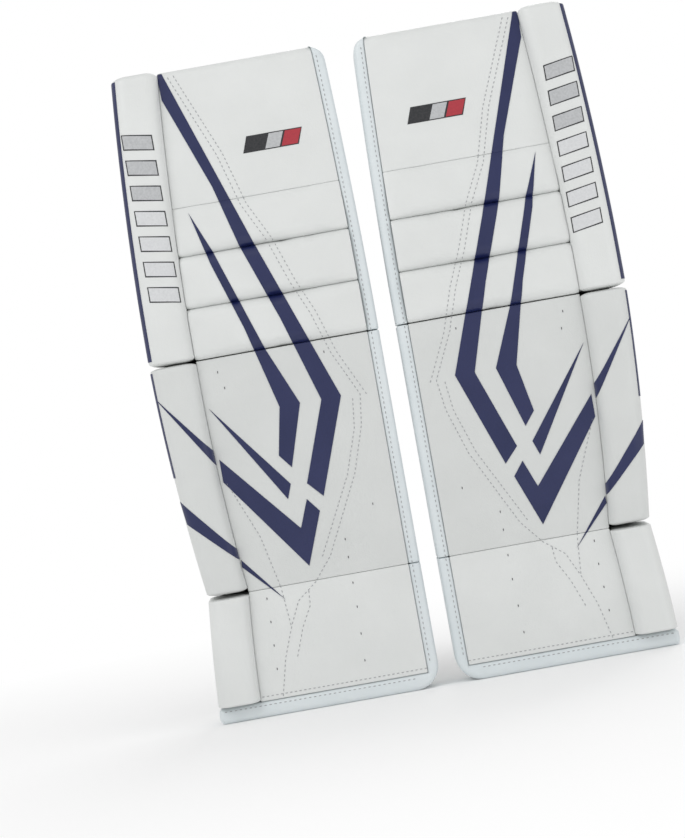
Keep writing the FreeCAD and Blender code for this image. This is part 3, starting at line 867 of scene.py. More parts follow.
def lathed(name, profile, turns=32):
    """A closed turned solid about z, from (radius, height) places in millimetres.

    Both ends lie on the axis, or the profile closes on itself.
    """
    ring = bmesh.new()
    places = [ring.verts.new((r * MM, 0, z * MM)) for r, z in profile]
    edges = [ring.edges.new(pair) for pair in zip(places, places[1:])]
    if profile[0][0] > 0:
        edges.append(ring.edges.new((places[-1], places[0])))
    drawn = places + edges
    bmesh.ops.spin(ring, geom=drawn, axis=(0, 0, 1), cent=(0, 0, 0), steps=turns, angle=2 * math.pi)
    bmesh.ops.remove_doubles(ring, verts=ring.verts, dist=1e-6)
    bmesh.ops.recalc_face_normals(ring, faces=ring.faces)
    mesh = bpy.data.meshes.new(name)
    ring.to_mesh(mesh)
    ring.free()
    mesh.shade_smooth()
    mesh.set_sharp_from_angle(angle=math.radians(40))
    return bpy.data.objects.new(name, mesh)


def thread_material(name, colour):
    """Bonded nylon thread, with a twist along it."""
    thread, nodes, link, shader = new_material(name, colour, 0.6)
    twist = noise(nodes, link, 2500, detail=1)
    relief(nodes, link, twist, shader, 0.1)
    tint(nodes, link, twist, colour, tuple(0.8 * part for part in colour), shader)
    return thread


half = STITCH_LENGTH / 2
stitch_profile = (
    (0, -half),
    (0.28, -half * 0.9),
    (THREAD / 2, -half * 0.5),
    (THREAD / 2, half * 0.5),
    (0.28, half * 0.9),
    (0, half),
)
stitch = lathed("stitch", stitch_profile, 6)
stitch_tree = thread_tree()
white_thread = thread_material("white_thread", (0.42, 0.43, 0.44))
for panel in faces_only:
    sewn("stitches", SEAMS, panel, stitch, white_thread, STITCH_PITCH)

tacks = [((x, z - 1.6), (x, z + 1.6)) for x, z in TACKS]
dark_thread = thread_material("dark_thread", (0.1, 0.1, 0.105))
for panel in ("shin_face", "boot_face"):
    sewn("tacks", tacks, panel, stitch, dark_thread, 10)
tape_heights = np.linspace(34, 772, 60)
tape_line = [(float(binding_seam(z)) - 4.5, float(z)) for z in tape_heights]
for panel in ("boot_binding", "inner_edge_shin", "inner_edge_upper"):
    sewn("tape_stitches", [tape_line, ((-108, 14.5), (120, 14.5))], panel, stitch, white_thread, 6)

# ---- Back panels ------------------------------------------------------------------------------
# Cloth-covered boards on the leg side, one above the knee break and one below it. Grey knitted
# mesh over thin foam, sewn round its edge.

BACK_PANEL = 3
BACK_FACE = CORE_BACK + BACK_PANEL


def knit_material(name, dark, light):
    """Knitted spacer mesh: a honeycomb of small holes between raised threads."""
    knit, nodes, link, shader = new_material(name, light, 0.8)
    place = nodes.new("ShaderNodeTexCoord")
    cells = nodes.new("ShaderNodeTexVoronoi")
    cells.feature = "DISTANCE_TO_EDGE"
    cells.inputs["Scale"].default_value = 380
    cells.inputs["Randomness"].default_value = 0.9
    link(place.outputs["Object"], cells.inputs["Vector"])
    rise = nodes.new("ShaderNodeMapRange")
    rise.inputs["From Min"].default_value = 0.02
    rise.inputs["From Max"].default_value = 0.32
    rise.inputs["To Min"].default_value = 1
    rise.inputs["To Max"].default_value = 0
    link(cells.outputs["Distance"], rise.inputs["Value"])
    tint(nodes, link, rise.outputs["Result"], dark, light, shader)
    relief(nodes, link, rise.outputs["Result"], shader, 0.5)
    rough = noise(nodes, link, 60)
    link(spread(nodes, link, rough, 0.7, 0.9), shader.inputs["Roughness"])
    shader.inputs["Sheen Weight"].default_value = 0.15
    return knit


mesh_cloth = knit_material("grey_mesh", (0.035, 0.037, 0.042), (0.2, 0.205, 0.22))
for name, body, low, high in (
    ("upper_back_panel", "upper", KNEE + CORE_GAP, TOP - SKIN),
    ("shin_back_panel", "shin", ANKLE + CORE_GAP, KNEE - CORE_GAP),
):
    size = (240, BACK_PANEL, 300)
    points, faces = stuffed_block(size, ((2, 2), (0.8, 1.6), (2, 2)), step=8)
    points = between(
        points,
        size,
        lambda z: inner_edge(z) + 6,
        lambda z: outer_edge(z) - 8,
        CORE_BACK,
        low,
        high,
    )
    for side, piece in both_pads(name, stand(points), faces, mesh_cloth).items():
        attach(piece, f"{side}_{body}")
        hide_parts(f"{side}_{name}")

# ---- Break hinges -----------------------------------------------------------------------------
# Strips of black cloth sewn across the back of the knee break and of the ankle break. They are
# what holds the three stretches together.

HINGE_INNER = 12
HINGE_OUTER = 14
HINGE_SPANS = {
    "knee_hinge": (KNEE, 14, BACK_FACE + 0.1, ("shin", "upper")),
    "ankle_hinge": (ANKLE, 11, CORE_BACK + 0.1, ("boot", "shin")),
}


def cloth_material():
    """Plain black nylon cloth."""
    cloth, nodes, link, shader = new_material("black_cloth", (0.02, 0.02, 0.022), 0.75)
    threads = noise(nodes, link, 1400, detail=2)
    relief(nodes, link, threads, shader, 0.2)
    tint(nodes, link, threads, (0.013, 0.013, 0.015), (0.04, 0.04, 0.043), shader)
    shader.inputs["Sheen Weight"].default_value = 0.3
    return cloth


black_cloth = cloth_material()
for name, (height, reach, depth, (lower, upper)) in HINGE_SPANS.items():
    size = (240, 1.2, 2 * reach)
    points, faces = stuffed_block(size, ((0.6, 0.6), (0.5, 0.5), (0.6, 0.6)), step=3)
    points = between(
        points,
        size,
        lambda z: inner_edge(z) + HINGE_INNER,
        lambda z: outer_edge(z) - HINGE_OUTER,
        depth,
        height - reach,
        height + reach,
    )
    width = float(outer_edge(height) - inner_edge(height) - HINGE_INNER - HINGE_OUTER)
    start, end = [
        Vector((0, to_left_pad[1] + depth, height + way * 0.6 * reach)) * MM for way in (-1, 1)
    ]
    for side, piece in both_pads(name, stand(points), faces, black_cloth).items():
        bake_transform(piece)

# ---- Calf wings -------------------------------------------------------------------------------
# Two stuffed cloth wings that wrap the calf, each sewn to the back of the shin along its root.
# Foam inside, swollen as cloth. White leather outside and grey mesh against the leg.

LEG_CENTRE = BACK_FACE + 35
CALF_INSIDE = 78
CALF_OUTSIDE = 98
CALF_SPAN = (172, 396)
CALF_TIP = 77.5
CALF_STRAP_WIDTH = 40
CALF_STRAP_LOWS = (214, 320)


def round_leg(points, inside, outside, start, end, low, high):
    """Curves a block round the leg. Its x runs round the leg and its y points inwards.

    An end given as None stops at the back panel. 0 degrees is the outer side and 90 is the back.
    """
    share = (points - points.min(0)) / (points.max(0) - points.min(0))
    radius = outside - share[:, 1] * (outside - inside)
    root = np.degrees(np.arcsin((LEG_CENTRE - BACK_FACE - 0.5) / radius))
    first = -root if start is None else start
    last = 180 + root if end is None else end
    angle = np.radians(first + share[:, 0] * (last - first))
    x = radius * np.cos(angle)
    y = LEG_CENTRE + radius * np.sin(angle)
    return np.stack((x, y, low + share[:, 2] * (high - low)), axis=1)


def facing_leg(points, faces, inside, outside):
    """1 for each face on the leg side of a wing and 0 for the rest."""
    middle = (inside + outside) / 2
    centres = np.array([points[list(face)].mean(0) for face in faces])
    return np.hypot(centres[:, 0], centres[:, 1] - LEG_CENTRE) < middle


def held_in(points, outside, spans, most=0.2, ease=12):
    """Presses a wing's outer face in where a strap lies on it, so that it swells only between."""
    x, y = points[:, 0], points[:, 1] - LEG_CENTRE
    radius = np.hypot(x, y)
    gap = np.full(len(points), 99.0)
    for low, high in spans:
        beyond = np.maximum(low - points[:, 2], points[:, 2] - high)
        gap = np.minimum(gap, np.clip(beyond, 0, None))
    free = np.clip(gap / ease, 0, 1)
    limit = outside + most + 3 * free**2 * (3 - 2 * free)
    inwards = np.minimum(radius, limit) / radius
    return np.stack((x * inwards, LEG_CENTRE + y * inwards, points[:, 2]), axis=1)


def tube(path, radius, sides=8):
    """A closed round welt along a path, in millimetres."""
    path = np.array(path)
    ahead = np.gradient(path, axis=0)
    ahead /= np.linalg.norm(ahead, axis=1, keepdims=True)
    outwards = path - (0, LEG_CENTRE, 0)
    outwards[:, 2] = 0
    across = np.cross(ahead, outwards)
    across /= np.linalg.norm(across, axis=1, keepdims=True)
    upright = np.cross(across, ahead)
    turns = np.linspace(0, 2 * np.pi, sides, endpoint=False)
    rings = [path + radius * (np.cos(turn) * across + np.sin(turn) * upright) for turn in turns]
    points = np.stack(rings, axis=1).reshape(-1, 3)
    faces = []
    for row in range(len(path) - 1):
        for side in range(sides):
            after = (side + 1) % sides
            here, there = row * sides, (row + 1) * sides
            faces.append((here + side, there + side, there + after, here + after))
    faces.append(tuple(range(sides)))
    faces.append(tuple(len(points) - 1 - side for side in range(sides)))
    return points, faces


def wing_rim(inside, outside, tip, low, high, outer_wing, corner=11):
    """The edge of a wing from its root, round its tip and back, as a path."""
    middle = (inside + outside) / 2
    root = math.radians(-20)
    length = (math.radians(tip) - root) * middle
    turns = np.radians(np.linspace(0, 90, 8))
    run = np.concatenate((
        np.linspace(4, length - corner, 30),
        length - corner + corner * np.sin(turns),
        np.full(30, length),
        length - corner + corner * np.cos(turns),
        np.linspace(length - corner, 4, 30),
    ))
    rise = np.concatenate((
        np.full(30, low),
        low + corner - corner * np.cos(turns),
        np.linspace(low + corner + 1, high - corner - 1, 30),
        high - corner + corner * np.sin(turns),
        np.full(30, high),
    ))
    angle = root + run / middle
    way = 1 if outer_wing else -1
    return np.stack((way * middle * np.cos(angle), LEG_CENTRE + middle * np.sin(angle), rise), axis=1)


calf_wings = {"calf_wing_outer": (None, CALF_TIP), "calf_wing_inner": (180 - CALF_TIP, None)}
calf_strap_spans = [(low, low + CALF_STRAP_WIDTH) for low in CALF_STRAP_LOWS]
for name, (start, end) in calf_wings.items():
    size = (150, CALF_OUTSIDE - CALF_INSIDE, CALF_SPAN[1] - CALF_SPAN[0])
    ends = (3, 9) if start is None else (9, 3)
    points, faces = stuffed_block(size, (ends, (9, 9), (9, 9)), step=5)
    points[:, 1] += np.where(points[:, 1] < size[1] / 2, 3, -3)
    low, high = CALF_SPAN[0] + 3, CALF_SPAN[1] - 3
    points = round_leg(points, CALF_INSIDE + 3, CALF_OUTSIDE - 2.5, start, end, low, high)
    points, faces = swollen(points, faces, 5, 4, 5)
    points = held_in(points, CALF_OUTSIDE, calf_strap_spans)
    inner_face = facing_leg(points, faces, CALF_INSIDE, CALF_OUTSIDE)
    pieces = both_pads(name, points, faces, white, mesh_cloth, which=inner_face, sharp=80)
    for side, piece in pieces.items():
        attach(piece, f"{side}_{name}")
        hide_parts(f"{side}_{name}")

# ---- Knee wing and landing block --------------------------------------------------------------
# The wing folds round the outer side of the knee. The block inside the knee is what the goalie
# lands on: dense foam in grey mesh, with a back that slopes so that the strap lies on it.

KNEE_INSIDE = 70
KNEE_OUTSIDE = 86
BLOCK_SLOPE = 20
BLOCK_SPAN = (-136, -66)
KNEE_SPAN = (462, 574)
KNEE_TIP = 75.5
KNEE_STRAP = (494, 544)


def turned(points, height, degrees):
    """Turns points back about a break's line at that height."""
    turn = np.radians(degrees)
    y, z = points[:, 1] - BREAK_DEPTH, points[:, 2] - height
    back = BREAK_DEPTH + y * np.cos(turn) + z * np.sin(turn)
    up = height - y * np.sin(turn) + z * np.cos(turn)
    return np.stack((points[:, 0], back, up), axis=1)


size = (120, KNEE_OUTSIDE - KNEE_INSIDE, KNEE_SPAN[1] - KNEE_SPAN[0])
points, faces = stuffed_block(size, ((3, 7), (7, 7), (8, 8)), step=5)
points[:, 1] += np.where(points[:, 1] < size[1] / 2, 2.5, -2.5)
low, high = KNEE_SPAN[0] + 3, KNEE_SPAN[1] - 3
points = round_leg(points, KNEE_INSIDE + 2.5, KNEE_OUTSIDE - 2, None, KNEE_TIP, low, high)
points, faces = swollen(points, faces, 5, 4, 4)
points = held_in(points, KNEE_OUTSIDE, (KNEE_STRAP,))
inner_face = facing_leg(points, faces, KNEE_INSIDE, KNEE_OUTSIDE)
points = turned(points, KNEE, THIGH_LEAN)
pieces = both_pads("knee_wing", points, faces, white, mesh_cloth, which=inner_face, sharp=80)
for side, piece in pieces.items():
    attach(piece, f"{side}_knee_wing")
    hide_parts(f"{side}_knee_wing")

slope = math.radians(BLOCK_SLOPE)
tangent_x = -KNEE_OUTSIDE * math.sin(slope)
tangent_y = LEG_CENTRE + KNEE_OUTSIDE * math.cos(slope)
size = (BLOCK_SPAN[1] - BLOCK_SPAN[0] - 4, 90, KNEE_SPAN[1] - KNEE_SPAN[0] - 4)
points, faces = stuffed_block(size, ((14, 14), (2, 14), (14, 14)), step=6)
x = BLOCK_SPAN[0] + 2 + points[:, 0]
depth = tangent_y + (x - tangent_x) * math.tan(slope) - BACK_FACE - 2
y = BACK_FACE + points[:, 1] / size[1] * depth
points = np.stack((x, y, KNEE_SPAN[0] + 2 + points[:, 2]), axis=1)
points, faces = swollen(points, faces, 6, 3, 3.5)
points[:, 1] = np.maximum(points[:, 1], BACK_FACE)
points = turned(points, KNEE, THIGH_LEAN)
for side, piece in both_pads("knee_block", points, faces, mesh_cloth, sharp=80).items():
    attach(piece, f"{side}_upper")
    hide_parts(f"{side}_knee_block")

# ---- Wing piping ------------------------------------------------------------------------------
# A thin round welt of black leather, sewn into the seam round the free edges of each wing.

PIPING_RADIUS = 2
calf_rim = (CALF_INSIDE, CALF_OUTSIDE, CALF_TIP + 0.5, CALF_SPAN[0] + 1, CALF_SPAN[1] - 1)
knee_rim = (KNEE_INSIDE, KNEE_OUTSIDE, KNEE_TIP + 0.5, KNEE_SPAN[0] + 1, KNEE_SPAN[1] - 1)
rims = {
    "calf_wing_outer": (*calf_rim, True),
    "calf_wing_inner": (*calf_rim, False),
    "knee_wing": (*knee_rim, True),
}


def black_leather_material():
    """Black synthetic leather with a coarse grain."""
    hide, nodes, link, shader = new_material("black_leather", (0.016, 0.016, 0.018), 0.45)
    place = nodes.new("ShaderNodeTexCoord")
    pebbles = nodes.new("ShaderNodeTexVoronoi")
    pebbles.inputs["Scale"].default_value = 700
    link(place.outputs["Object"], pebbles.inputs["Vector"])
    relief(nodes, link, pebbles.outputs["Distance"], shader, 0.25)
    gloss = noise(nodes, link, 90)
    link(spread(nodes, link, gloss, 0.38, 0.55), shader.inputs["Roughness"])
    tint(nodes, link, pebbles.outputs["Distance"], (0.022, 0.022, 0.024), (0.01, 0.01, 0.012), shader)
    return hide


black_leather = black_leather_material()
for name, rim in rims.items():
    points, faces = tube(wing_rim(*rim), PIPING_RADIUS)
    if name == "knee_wing":
        points = turned(points, KNEE, THIGH_LEAN)
    for side, piece in both_pads(f"{name}_piping", points, faces, black_leather, sharp=60).items():
        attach(piece, f"{side}_{name}")

# ---- Wing flaps -------------------------------------------------------------------------------
# Each wing hangs from a flap of black cloth, sewn flat on the back panel and to the wing's outer
# face.

FLAP_ON_PANEL = 14
FLAP_BEND = 3
FLAP_ON_WING = 12
FLAP_THICK = 1


def flap_path(along, depth, outside):
    """Where a flap runs: inwards on the panel, round the hinge, and out along the wing."""
    radius = outside + FLAP_THICK
    first = -math.asin((LEG_CENTRE - BACK_FACE - 3) / radius)
    on_panel = np.clip(FLAP_ON_PANEL - along, 0, None)
    on_wing = np.clip(along - FLAP_ON_PANEL - FLAP_BEND, 0, None)
    turn = np.clip((along - FLAP_ON_PANEL) / FLAP_BEND, 0, 1)
    angle = first + on_wing / radius
    flat_x = radius * math.cos(first) + 2 + on_panel
    flat_y = BACK_FACE + 0.1 + FLAP_THICK - depth
    wing_x = (radius - depth) * np.cos(angle)
    wing_y = LEG_CENTRE + (radius - depth) * np.sin(angle)
    return flat_x * (1 - turn) + wing_x * turn, flat_y * (1 - turn) + wing_y * turn


calf_flap = (CALF_OUTSIDE, CALF_SPAN[0] + 14, CALF_SPAN[1] - 14, "shin")
flaps = (
    ("calf_wing_outer", 1, *calf_flap),
    ("calf_wing_inner", -1, *calf_flap),
    ("knee_wing", 1, KNEE_OUTSIDE, KNEE_SPAN[0] + 10, KNEE_SPAN[1] - 10, "upper"),
)
for wing, way, outside, low, high, body in flaps:
    length = FLAP_ON_PANEL + FLAP_BEND + FLAP_ON_WING
    size = (length, FLAP_THICK, high - low)
    points, faces = stuffed_block(size, ((0.4, 0.4), (0.4, 0.4), (0.4, 0.4)), step=1.5)
    x, y = flap_path(points[:, 0], points[:, 1], outside)
    points = np.stack((x * way, y, points[:, 2] + low), axis=1)
    start = np.array(((outside + 7) * way, BACK_FACE, 0))
    end = np.array(((outside + 0.5) * way, BACK_FACE + 7, 0))
    if body == "upper":
        points = turned(points, KNEE, THIGH_LEAN)
    rows = faces if way == 1 else faces[:, ::-1]
    for side, piece in both_pads(f"{wing}_flap", points, rows, black_cloth).items():
        turn = (1 if side == "left" else -1, 1, 1)
        ends = [Vector((place + to_left_pad) * MM * turn) for place in (start, end)]
        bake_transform(piece)

# ---- Elastic straps ---------------------------------------------------------------------------
# Flat woven elastic. Each strap is sewn to an outer wing and lies across the back of the leg,
# where its end grips the inner wing or the landing block.

STRAP_THICK = 2
STRAP_LIFT = 0.4
STRAP_START = 60.5
CALF_STRAP_END = 127
KNEE_STRAP_RUN = 104


def woven(name, colour, light, rib_mm, roughness):
    """A woven band on its own UV map: ribs along it, and fine threads across them."""
    band, nodes, link, shader = new_material(name, colour, roughness)
    place = nodes.new("ShaderNodeTexCoord")
    ribs = nodes.new("ShaderNodeTexWave")
    ribs.bands_direction = "Y"
    ribs.inputs["Scale"].default_value = 0.314 / (rib_mm * MM)
    threads = nodes.new("ShaderNodeTexWave")
    threads.inputs["Scale"].default_value = 0.314 / (0.7 * MM)
    threads.inputs["Distortion"].default_value = 0.6
    link(place.outputs["UV"], ribs.inputs["Vector"])
    link(place.outputs["UV"], threads.inputs["Vector"])
    height = nodes.new("ShaderNodeMath")
    height.operation = "MULTIPLY_ADD"
    link(threads.outputs["Fac"], height.inputs[0])
    height.inputs[1].default_value = 0.5
    link(ribs.outputs["Fac"], height.inputs[2])
    tint(nodes, link, height.outputs["Value"], colour, light, shader)
    relief(nodes, link, height.outputs["Value"], shader, 0.3)
    gloss = noise(nodes, link, 40)
    link(spread(nodes, link, gloss, roughness - 0.08, roughness + 0.08), shader.inputs["Roughness"])
    shader.inputs["Sheen Weight"].default_value = 0.3
    return band


def strap_round(along, depth, radius, start, bend):
    """Points of a strap: round the leg from start to bend degrees, then straight on."""
    arc = math.radians(bend - start) * radius
    angle = np.radians(start) + np.minimum(along, arc) / radius
    straight = np.clip(along - arc, 0, None)
    x = (radius - depth) * np.cos(angle) - straight * np.sin(angle)
    y = LEG_CENTRE + (radius - depth) * np.sin(angle) + straight * np.cos(angle)
    return x, y


elastic = woven("black_elastic", (0.012, 0.012, 0.014), (0.05, 0.05, 0.055), 2.4, 0.65)
calf_low, calf_high = CALF_STRAP_LOWS
knee_width = KNEE_STRAP[1] - KNEE_STRAP[0]
straps = {
    "calf_strap_lower": (CALF_OUTSIDE, CALF_STRAP_END, 0, calf_low, CALF_STRAP_WIDTH, "calf"),
    "calf_strap_upper": (CALF_OUTSIDE, CALF_STRAP_END, 0, calf_high, CALF_STRAP_WIDTH, "calf"),
    "knee_strap": (
        KNEE_OUTSIDE, 90 + BLOCK_SLOPE, KNEE_STRAP_RUN, KNEE_STRAP[0], knee_width, "knee",
    ),
}
for name, (wing, bend, run, low, width, on) in straps.items():
    radius = wing + STRAP_LIFT + STRAP_THICK
    length = math.radians(bend - STRAP_START) * radius + run
    size = (length, STRAP_THICK, width)
    points, faces = stuffed_block(size, ((1, 1), (0.9, 0.9), (1, 1)), step=4)
    x, y = strap_round(points[:, 0], points[:, 1], radius, STRAP_START, bend)
    uv = points[:, (0, 2)]
    points = np.stack((x, y, points[:, 2] + low), axis=1)
    if on == "knee":
        points = turned(points, KNEE, THIGH_LEAN)
    for side, piece in both_pads(name, points, faces, elastic, uv=uv).items():
        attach(piece, f"{side}_{name}")
        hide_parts(f"{side}_{name}")

# ---- Strap anchors ----------------------------------------------------------------------------
# Leather tabs that hold the two calf straps on the outer wing, each with two steel rivets.

TAB_START = 42
TAB_END = 59.5
RIVET_ANGLE = 50
RIVET_RADIUS = 4


def steel_material():
    """Nickel-plated steel with fine scratches."""
    steel, nodes, link, shader = new_material("steel", (0.6, 0.6, 0.62), 0.25)
    shader.inputs["Metallic"].default_value = 1
    scratches = noise(nodes, link, 1500, detail=2)
    link(spread(nodes, link, scratches, 0.18, 0.38), shader.inputs["Roughness"])
    relief(nodes, link, scratches, shader, 0.02)
    return steel


def instanced(name, places, normals, shape, material):
    """Puts a copy of shape on each place, on both pads, its z along the place's normal."""
    tree = bpy.data.node_groups.new(name, "GeometryNodeTree")
    for socket, kind, way in (
        ("Geometry", "NodeSocketGeometry", "INPUT"),
        ("Shape", "NodeSocketObject", "INPUT"),
        ("Size", "NodeSocketFloat", "INPUT"),
        ("Material", "NodeSocketMaterial", "INPUT"),
        ("Geometry", "NodeSocketGeometry", "OUTPUT"),
    ):
        tree.interface.new_socket(socket, in_out=way, socket_type=kind)
    nodes, link = tree.nodes, tree.links.new
    given = nodes.new("NodeGroupInput")
    facing = nodes.new("GeometryNodeInputNamedAttribute")
    facing.data_type = "FLOAT_VECTOR"
    facing.inputs["Name"].default_value = "facing"
    align = nodes.new("FunctionNodeAlignRotationToVector")
    align.axis = "Z"
    model = nodes.new("GeometryNodeObjectInfo")
    copies = nodes.new("GeometryNodeInstanceOnPoints")
    real = nodes.new("GeometryNodeRealizeInstances")
    paint = nodes.new("GeometryNodeSetMaterial")
    out = nodes.new("NodeGroupOutput")
    link(given.outputs["Shape"], model.inputs["Object"])
    link(facing.outputs["Attribute"], align.inputs["Vector"])
    link(given.outputs["Geometry"], copies.inputs["Points"])
    link(model.outputs["Geometry"], copies.inputs["Instance"])
    link(align.outputs["Rotation"], copies.inputs["Rotation"])
    link(given.outputs["Size"], copies.inputs["Scale"])
    link(copies.outputs["Instances"], real.inputs["Geometry"])
    link(real.outputs["Geometry"], paint.inputs["Geometry"])
    link(given.outputs["Material"], paint.inputs["Material"])
    link(paint.outputs["Geometry"], out.inputs["Geometry"])
    pieces = {}
    for side, turn in SIDES.items():
        mesh = bpy.data.meshes.new(f"{side}.{name}")
        mesh.from_pydata(((places + to_left_pad) * MM * (turn, 1, 1)).tolist(), [], [])
        facing_data = mesh.attributes.new("facing", "FLOAT_VECTOR", "POINT")
        facing_data.data.foreach_set("vector", (normals * (turn, 1, 1)).astype(np.float32).ravel())
        piece = bpy.data.objects.new(mesh.name, mesh)
        bpy.context.scene.collection.objects.link(piece)
        modifier = piece.modifiers.new("Copies", "NODES")
        modifier.node_group = tree
        values = {"Shape": shape, "Size": 1.0, "Material": material}
        for item in tree.interface.items_tree:
            if item.in_out == "INPUT" and item.name in values:
                modifier[item.identifier] = values[item.name]
        graph = bpy.context.evaluated_depsgraph_get()
        plain = bpy.data.meshes.new_from_object(piece.evaluated_get(graph))
        piece.modifiers.clear()
        piece.data = plain
        plain.name = piece.name
        if material.name not in plain.materials:
            plain.materials.clear()
            plain.materials.append(material)
        pieces[side] = piece
    return pieces


steel = steel_material()
tab_radius = CALF_OUTSIDE + STRAP_LIFT + STRAP_THICK
tabs, tab_faces = [], []
for low in CALF_STRAP_LOWS:
    size = (math.radians(TAB_END - TAB_START) * tab_radius, STRAP_THICK, CALF_STRAP_WIDTH)
    points, faces = stuffed_block(size, ((4, 0.8), (0.8, 0.8), (3, 3)), step=4)
    x, y = strap_round(points[:, 0], points[:, 1], tab_radius, TAB_START, TAB_END)
    tab_faces.append(faces + sum(len(tab) for tab in tabs))
    tabs.append(np.stack((x, y, points[:, 2] + low), axis=1))
pieces = both_pads("strap_tabs", np.concatenate(tabs), np.concatenate(tab_faces), black_leather)
for side, piece in pieces.items():
    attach(piece, f"{side}_calf_wing_outer")
    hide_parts(f"{side}_calf_strap_anchors")

turn = math.radians(RIVET_ANGLE)
outwards = np.array((math.cos(turn), math.sin(turn), 0))
rivet_places = []
for low in CALF_STRAP_LOWS:
    for share in (0.25, 0.75):
        height = low + share * CALF_STRAP_WIDTH
        rivet_places.append(outwards * tab_radius + (0, LEG_CENTRE, height))
rivet_profile = (
    (0, -0.6),
    (RIVET_RADIUS, -0.6),
    (RIVET_RADIUS, 0.3),
    (RIVET_RADIUS * 0.9, 0.9),
    (RIVET_RADIUS * 0.6, 1.3),
    (0, 1.4),
)
rivet = lathed("rivet", rivet_profile)
rivet_normals = np.tile(outwards, (len(rivet_places), 1))
for side, piece in instanced("rivets", np.array(rivet_places), rivet_normals, rivet, steel).items():
    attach(piece, f"{side}_calf_wing_outer")
    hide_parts(f"{side}_calf_strap_anchors")

# ---- Strap stitching --------------------------------------------------------------------------
# A box of black thread on each tab, and a row across the free end of each elastic strap.

black_thread = thread_material("black_thread", (0.09, 0.09, 0.095))
for name, (wing, bend, run, low, width, on) in straps.items():
    radius = wing + STRAP_LIFT + STRAP_THICK
    length = math.radians(bend - STRAP_START) * radius + run
    places, edges = [], []
    for along_strap in (length - 5, length - 8):
        rise = np.linspace(3, width - 3, 12)
        x, y = strap_round(np.full(12, along_strap), np.full(12, -0.1), radius, STRAP_START, bend)
        first = len(places)
        places += list(np.stack((x, y, rise + low), axis=1))
        edges += [(first + step, first + step + 1) for step in range(11)]
    places = np.array(places)
    if on == "knee":
        places = turned(places, KNEE, THIGH_LEAN)
    stitched(f"{name}_stitches", places, edges, name, stitch, black_thread, 4.2)
for low in CALF_STRAP_LOWS:
    left, right, bottom, top = TAB_START + 2, TAB_END - 2, 3, CALF_STRAP_WIDTH - 3
    box = ((left, bottom), (right, bottom), (right, top), (left, top), (left, bottom))
    box = smooth_line(box, 1.5)
    angle = np.radians(box[:, 0])
    x = (tab_radius + 0.1) * np.cos(angle)
    y = LEG_CENTRE + (tab_radius + 0.1) * np.sin(angle)
    places = np.stack((x, y, box[:, 1] + low), axis=1)
    edges = [(step, step + 1) for step in range(len(places) - 1)]
    stitched(f"tab_stitches_{low}", places, edges, "calf_wing_outer", stitch, black_thread, 4.2)

# ---- Boot channel -----------------------------------------------------------------------------
# Two foam walls behind the boot, in white leather, that the skate sits between.

WALL_SPAN = (62, 98)
WALL_DEPTH = 70
WALL_TOP = 136


def boot_back(z):
    """How far back the boot's back is at a height, as it leans."""
    lean = math.radians(TOE_LEAN)
    return BREAK_DEPTH - (BREAK_DEPTH - CORE_BACK) / math.cos(lean) - (ANKLE - z) * math.tan(lean)


walls, wall_faces = [], []
for turn in (-1, 1):
    size = (WALL_SPAN[1] - WALL_SPAN[0] - 3, WALL_DEPTH, WALL_TOP)
    points, faces = stuffed_block(size, ((9, 9), (2, 12), (3, 12)), step=6)
    depth = points[:, 1] / size[1]
    up = points[:, 2] / size[2] * (WALL_TOP - 0.5 - 9 * depth)
    back = boot_back(up) + depth * (WALL_DEPTH / math.cos(math.radians(TOE_LEAN)) - 1.5)
    middle = turn * sum(WALL_SPAN) / 2
    wall = np.stack((middle - size[0] / 2 + points[:, 0], back, up), axis=1)
    wall, faces = swollen(wall, faces, 6, 3, 3)
    faces = np.array([tuple(face) for face in faces])
    wall[:, 2] = np.clip(wall[:, 2], 0.2, None)
    wall[:, 1] = np.maximum(wall[:, 1], boot_back(wall[:, 2]) + 0.1)
    wall_faces.append(faces + sum(len(done) for done in walls))
    walls.append(wall)
points, faces = np.concatenate(walls), np.concatenate(wall_faces)
for side, piece in both_pads("boot_side_walls", points, faces, white, sharp=80).items():
    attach(piece, f"{side}_boot")
    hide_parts(f"{side}_boot_side_walls")

# ---- Boot strap and buckle --------------------------------------------------------------------
# Two lengths of woven webbing across the channel. One is sewn to the socket, and the clip slides
# along the other. The buckle is moulded acetal.

WEB_HEIGHT = 96
WEB_WIDTH = 20
WEB_THICK = 2
WEB_DEPTH = CORE_BACK + WALL_DEPTH
WEB_RUNS = ((28, 94), (-94, -4))


def plastic_material():
    """Moulded black acetal with a fine spark-eroded texture."""
    plastic, nodes, link, shader = new_material("black_plastic", (0.012, 0.012, 0.013), 0.38)
    texture = noise(nodes, link, 1800, detail=2)
    relief(nodes, link, texture, shader, 0.06)
    gloss = noise(nodes, link, 120)
    link(spread(nodes, link, gloss, 0.32, 0.46), shader.inputs["Roughness"])
    tint(nodes, link, gloss, (0.01, 0.01, 0.011), (0.017, 0.017, 0.018), shader)
    return plastic


webbing = woven("black_webbing", (0.012, 0.012, 0.014), (0.045, 0.045, 0.05), 1.4, 0.55)
runs, run_faces, run_uv = [], [], []
for start, end in WEB_RUNS:
    size = (end - start, WEB_THICK, WEB_WIDTH)
    points, faces = stuffed_block(size, ((0.6, 0.6), (0.8, 0.8), (0.8, 0.8)), step=4)
    run_faces.append(faces + sum(len(run) for run in runs))
    run_uv.append(points[:, (0, 2)])
    points = points + (start, WEB_DEPTH, WEB_HEIGHT - WEB_WIDTH / 2)
    runs.append(turned(points, ANKLE, TOE_LEAN))
points, faces, uv = np.concatenate(runs), np.concatenate(run_faces), np.concatenate(run_uv)
for side, piece in both_pads("boot_webbing", points, faces, webbing, uv=uv).items():
    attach(piece, f"{side}_boot")
    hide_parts(f"{side}_boot_webbing")

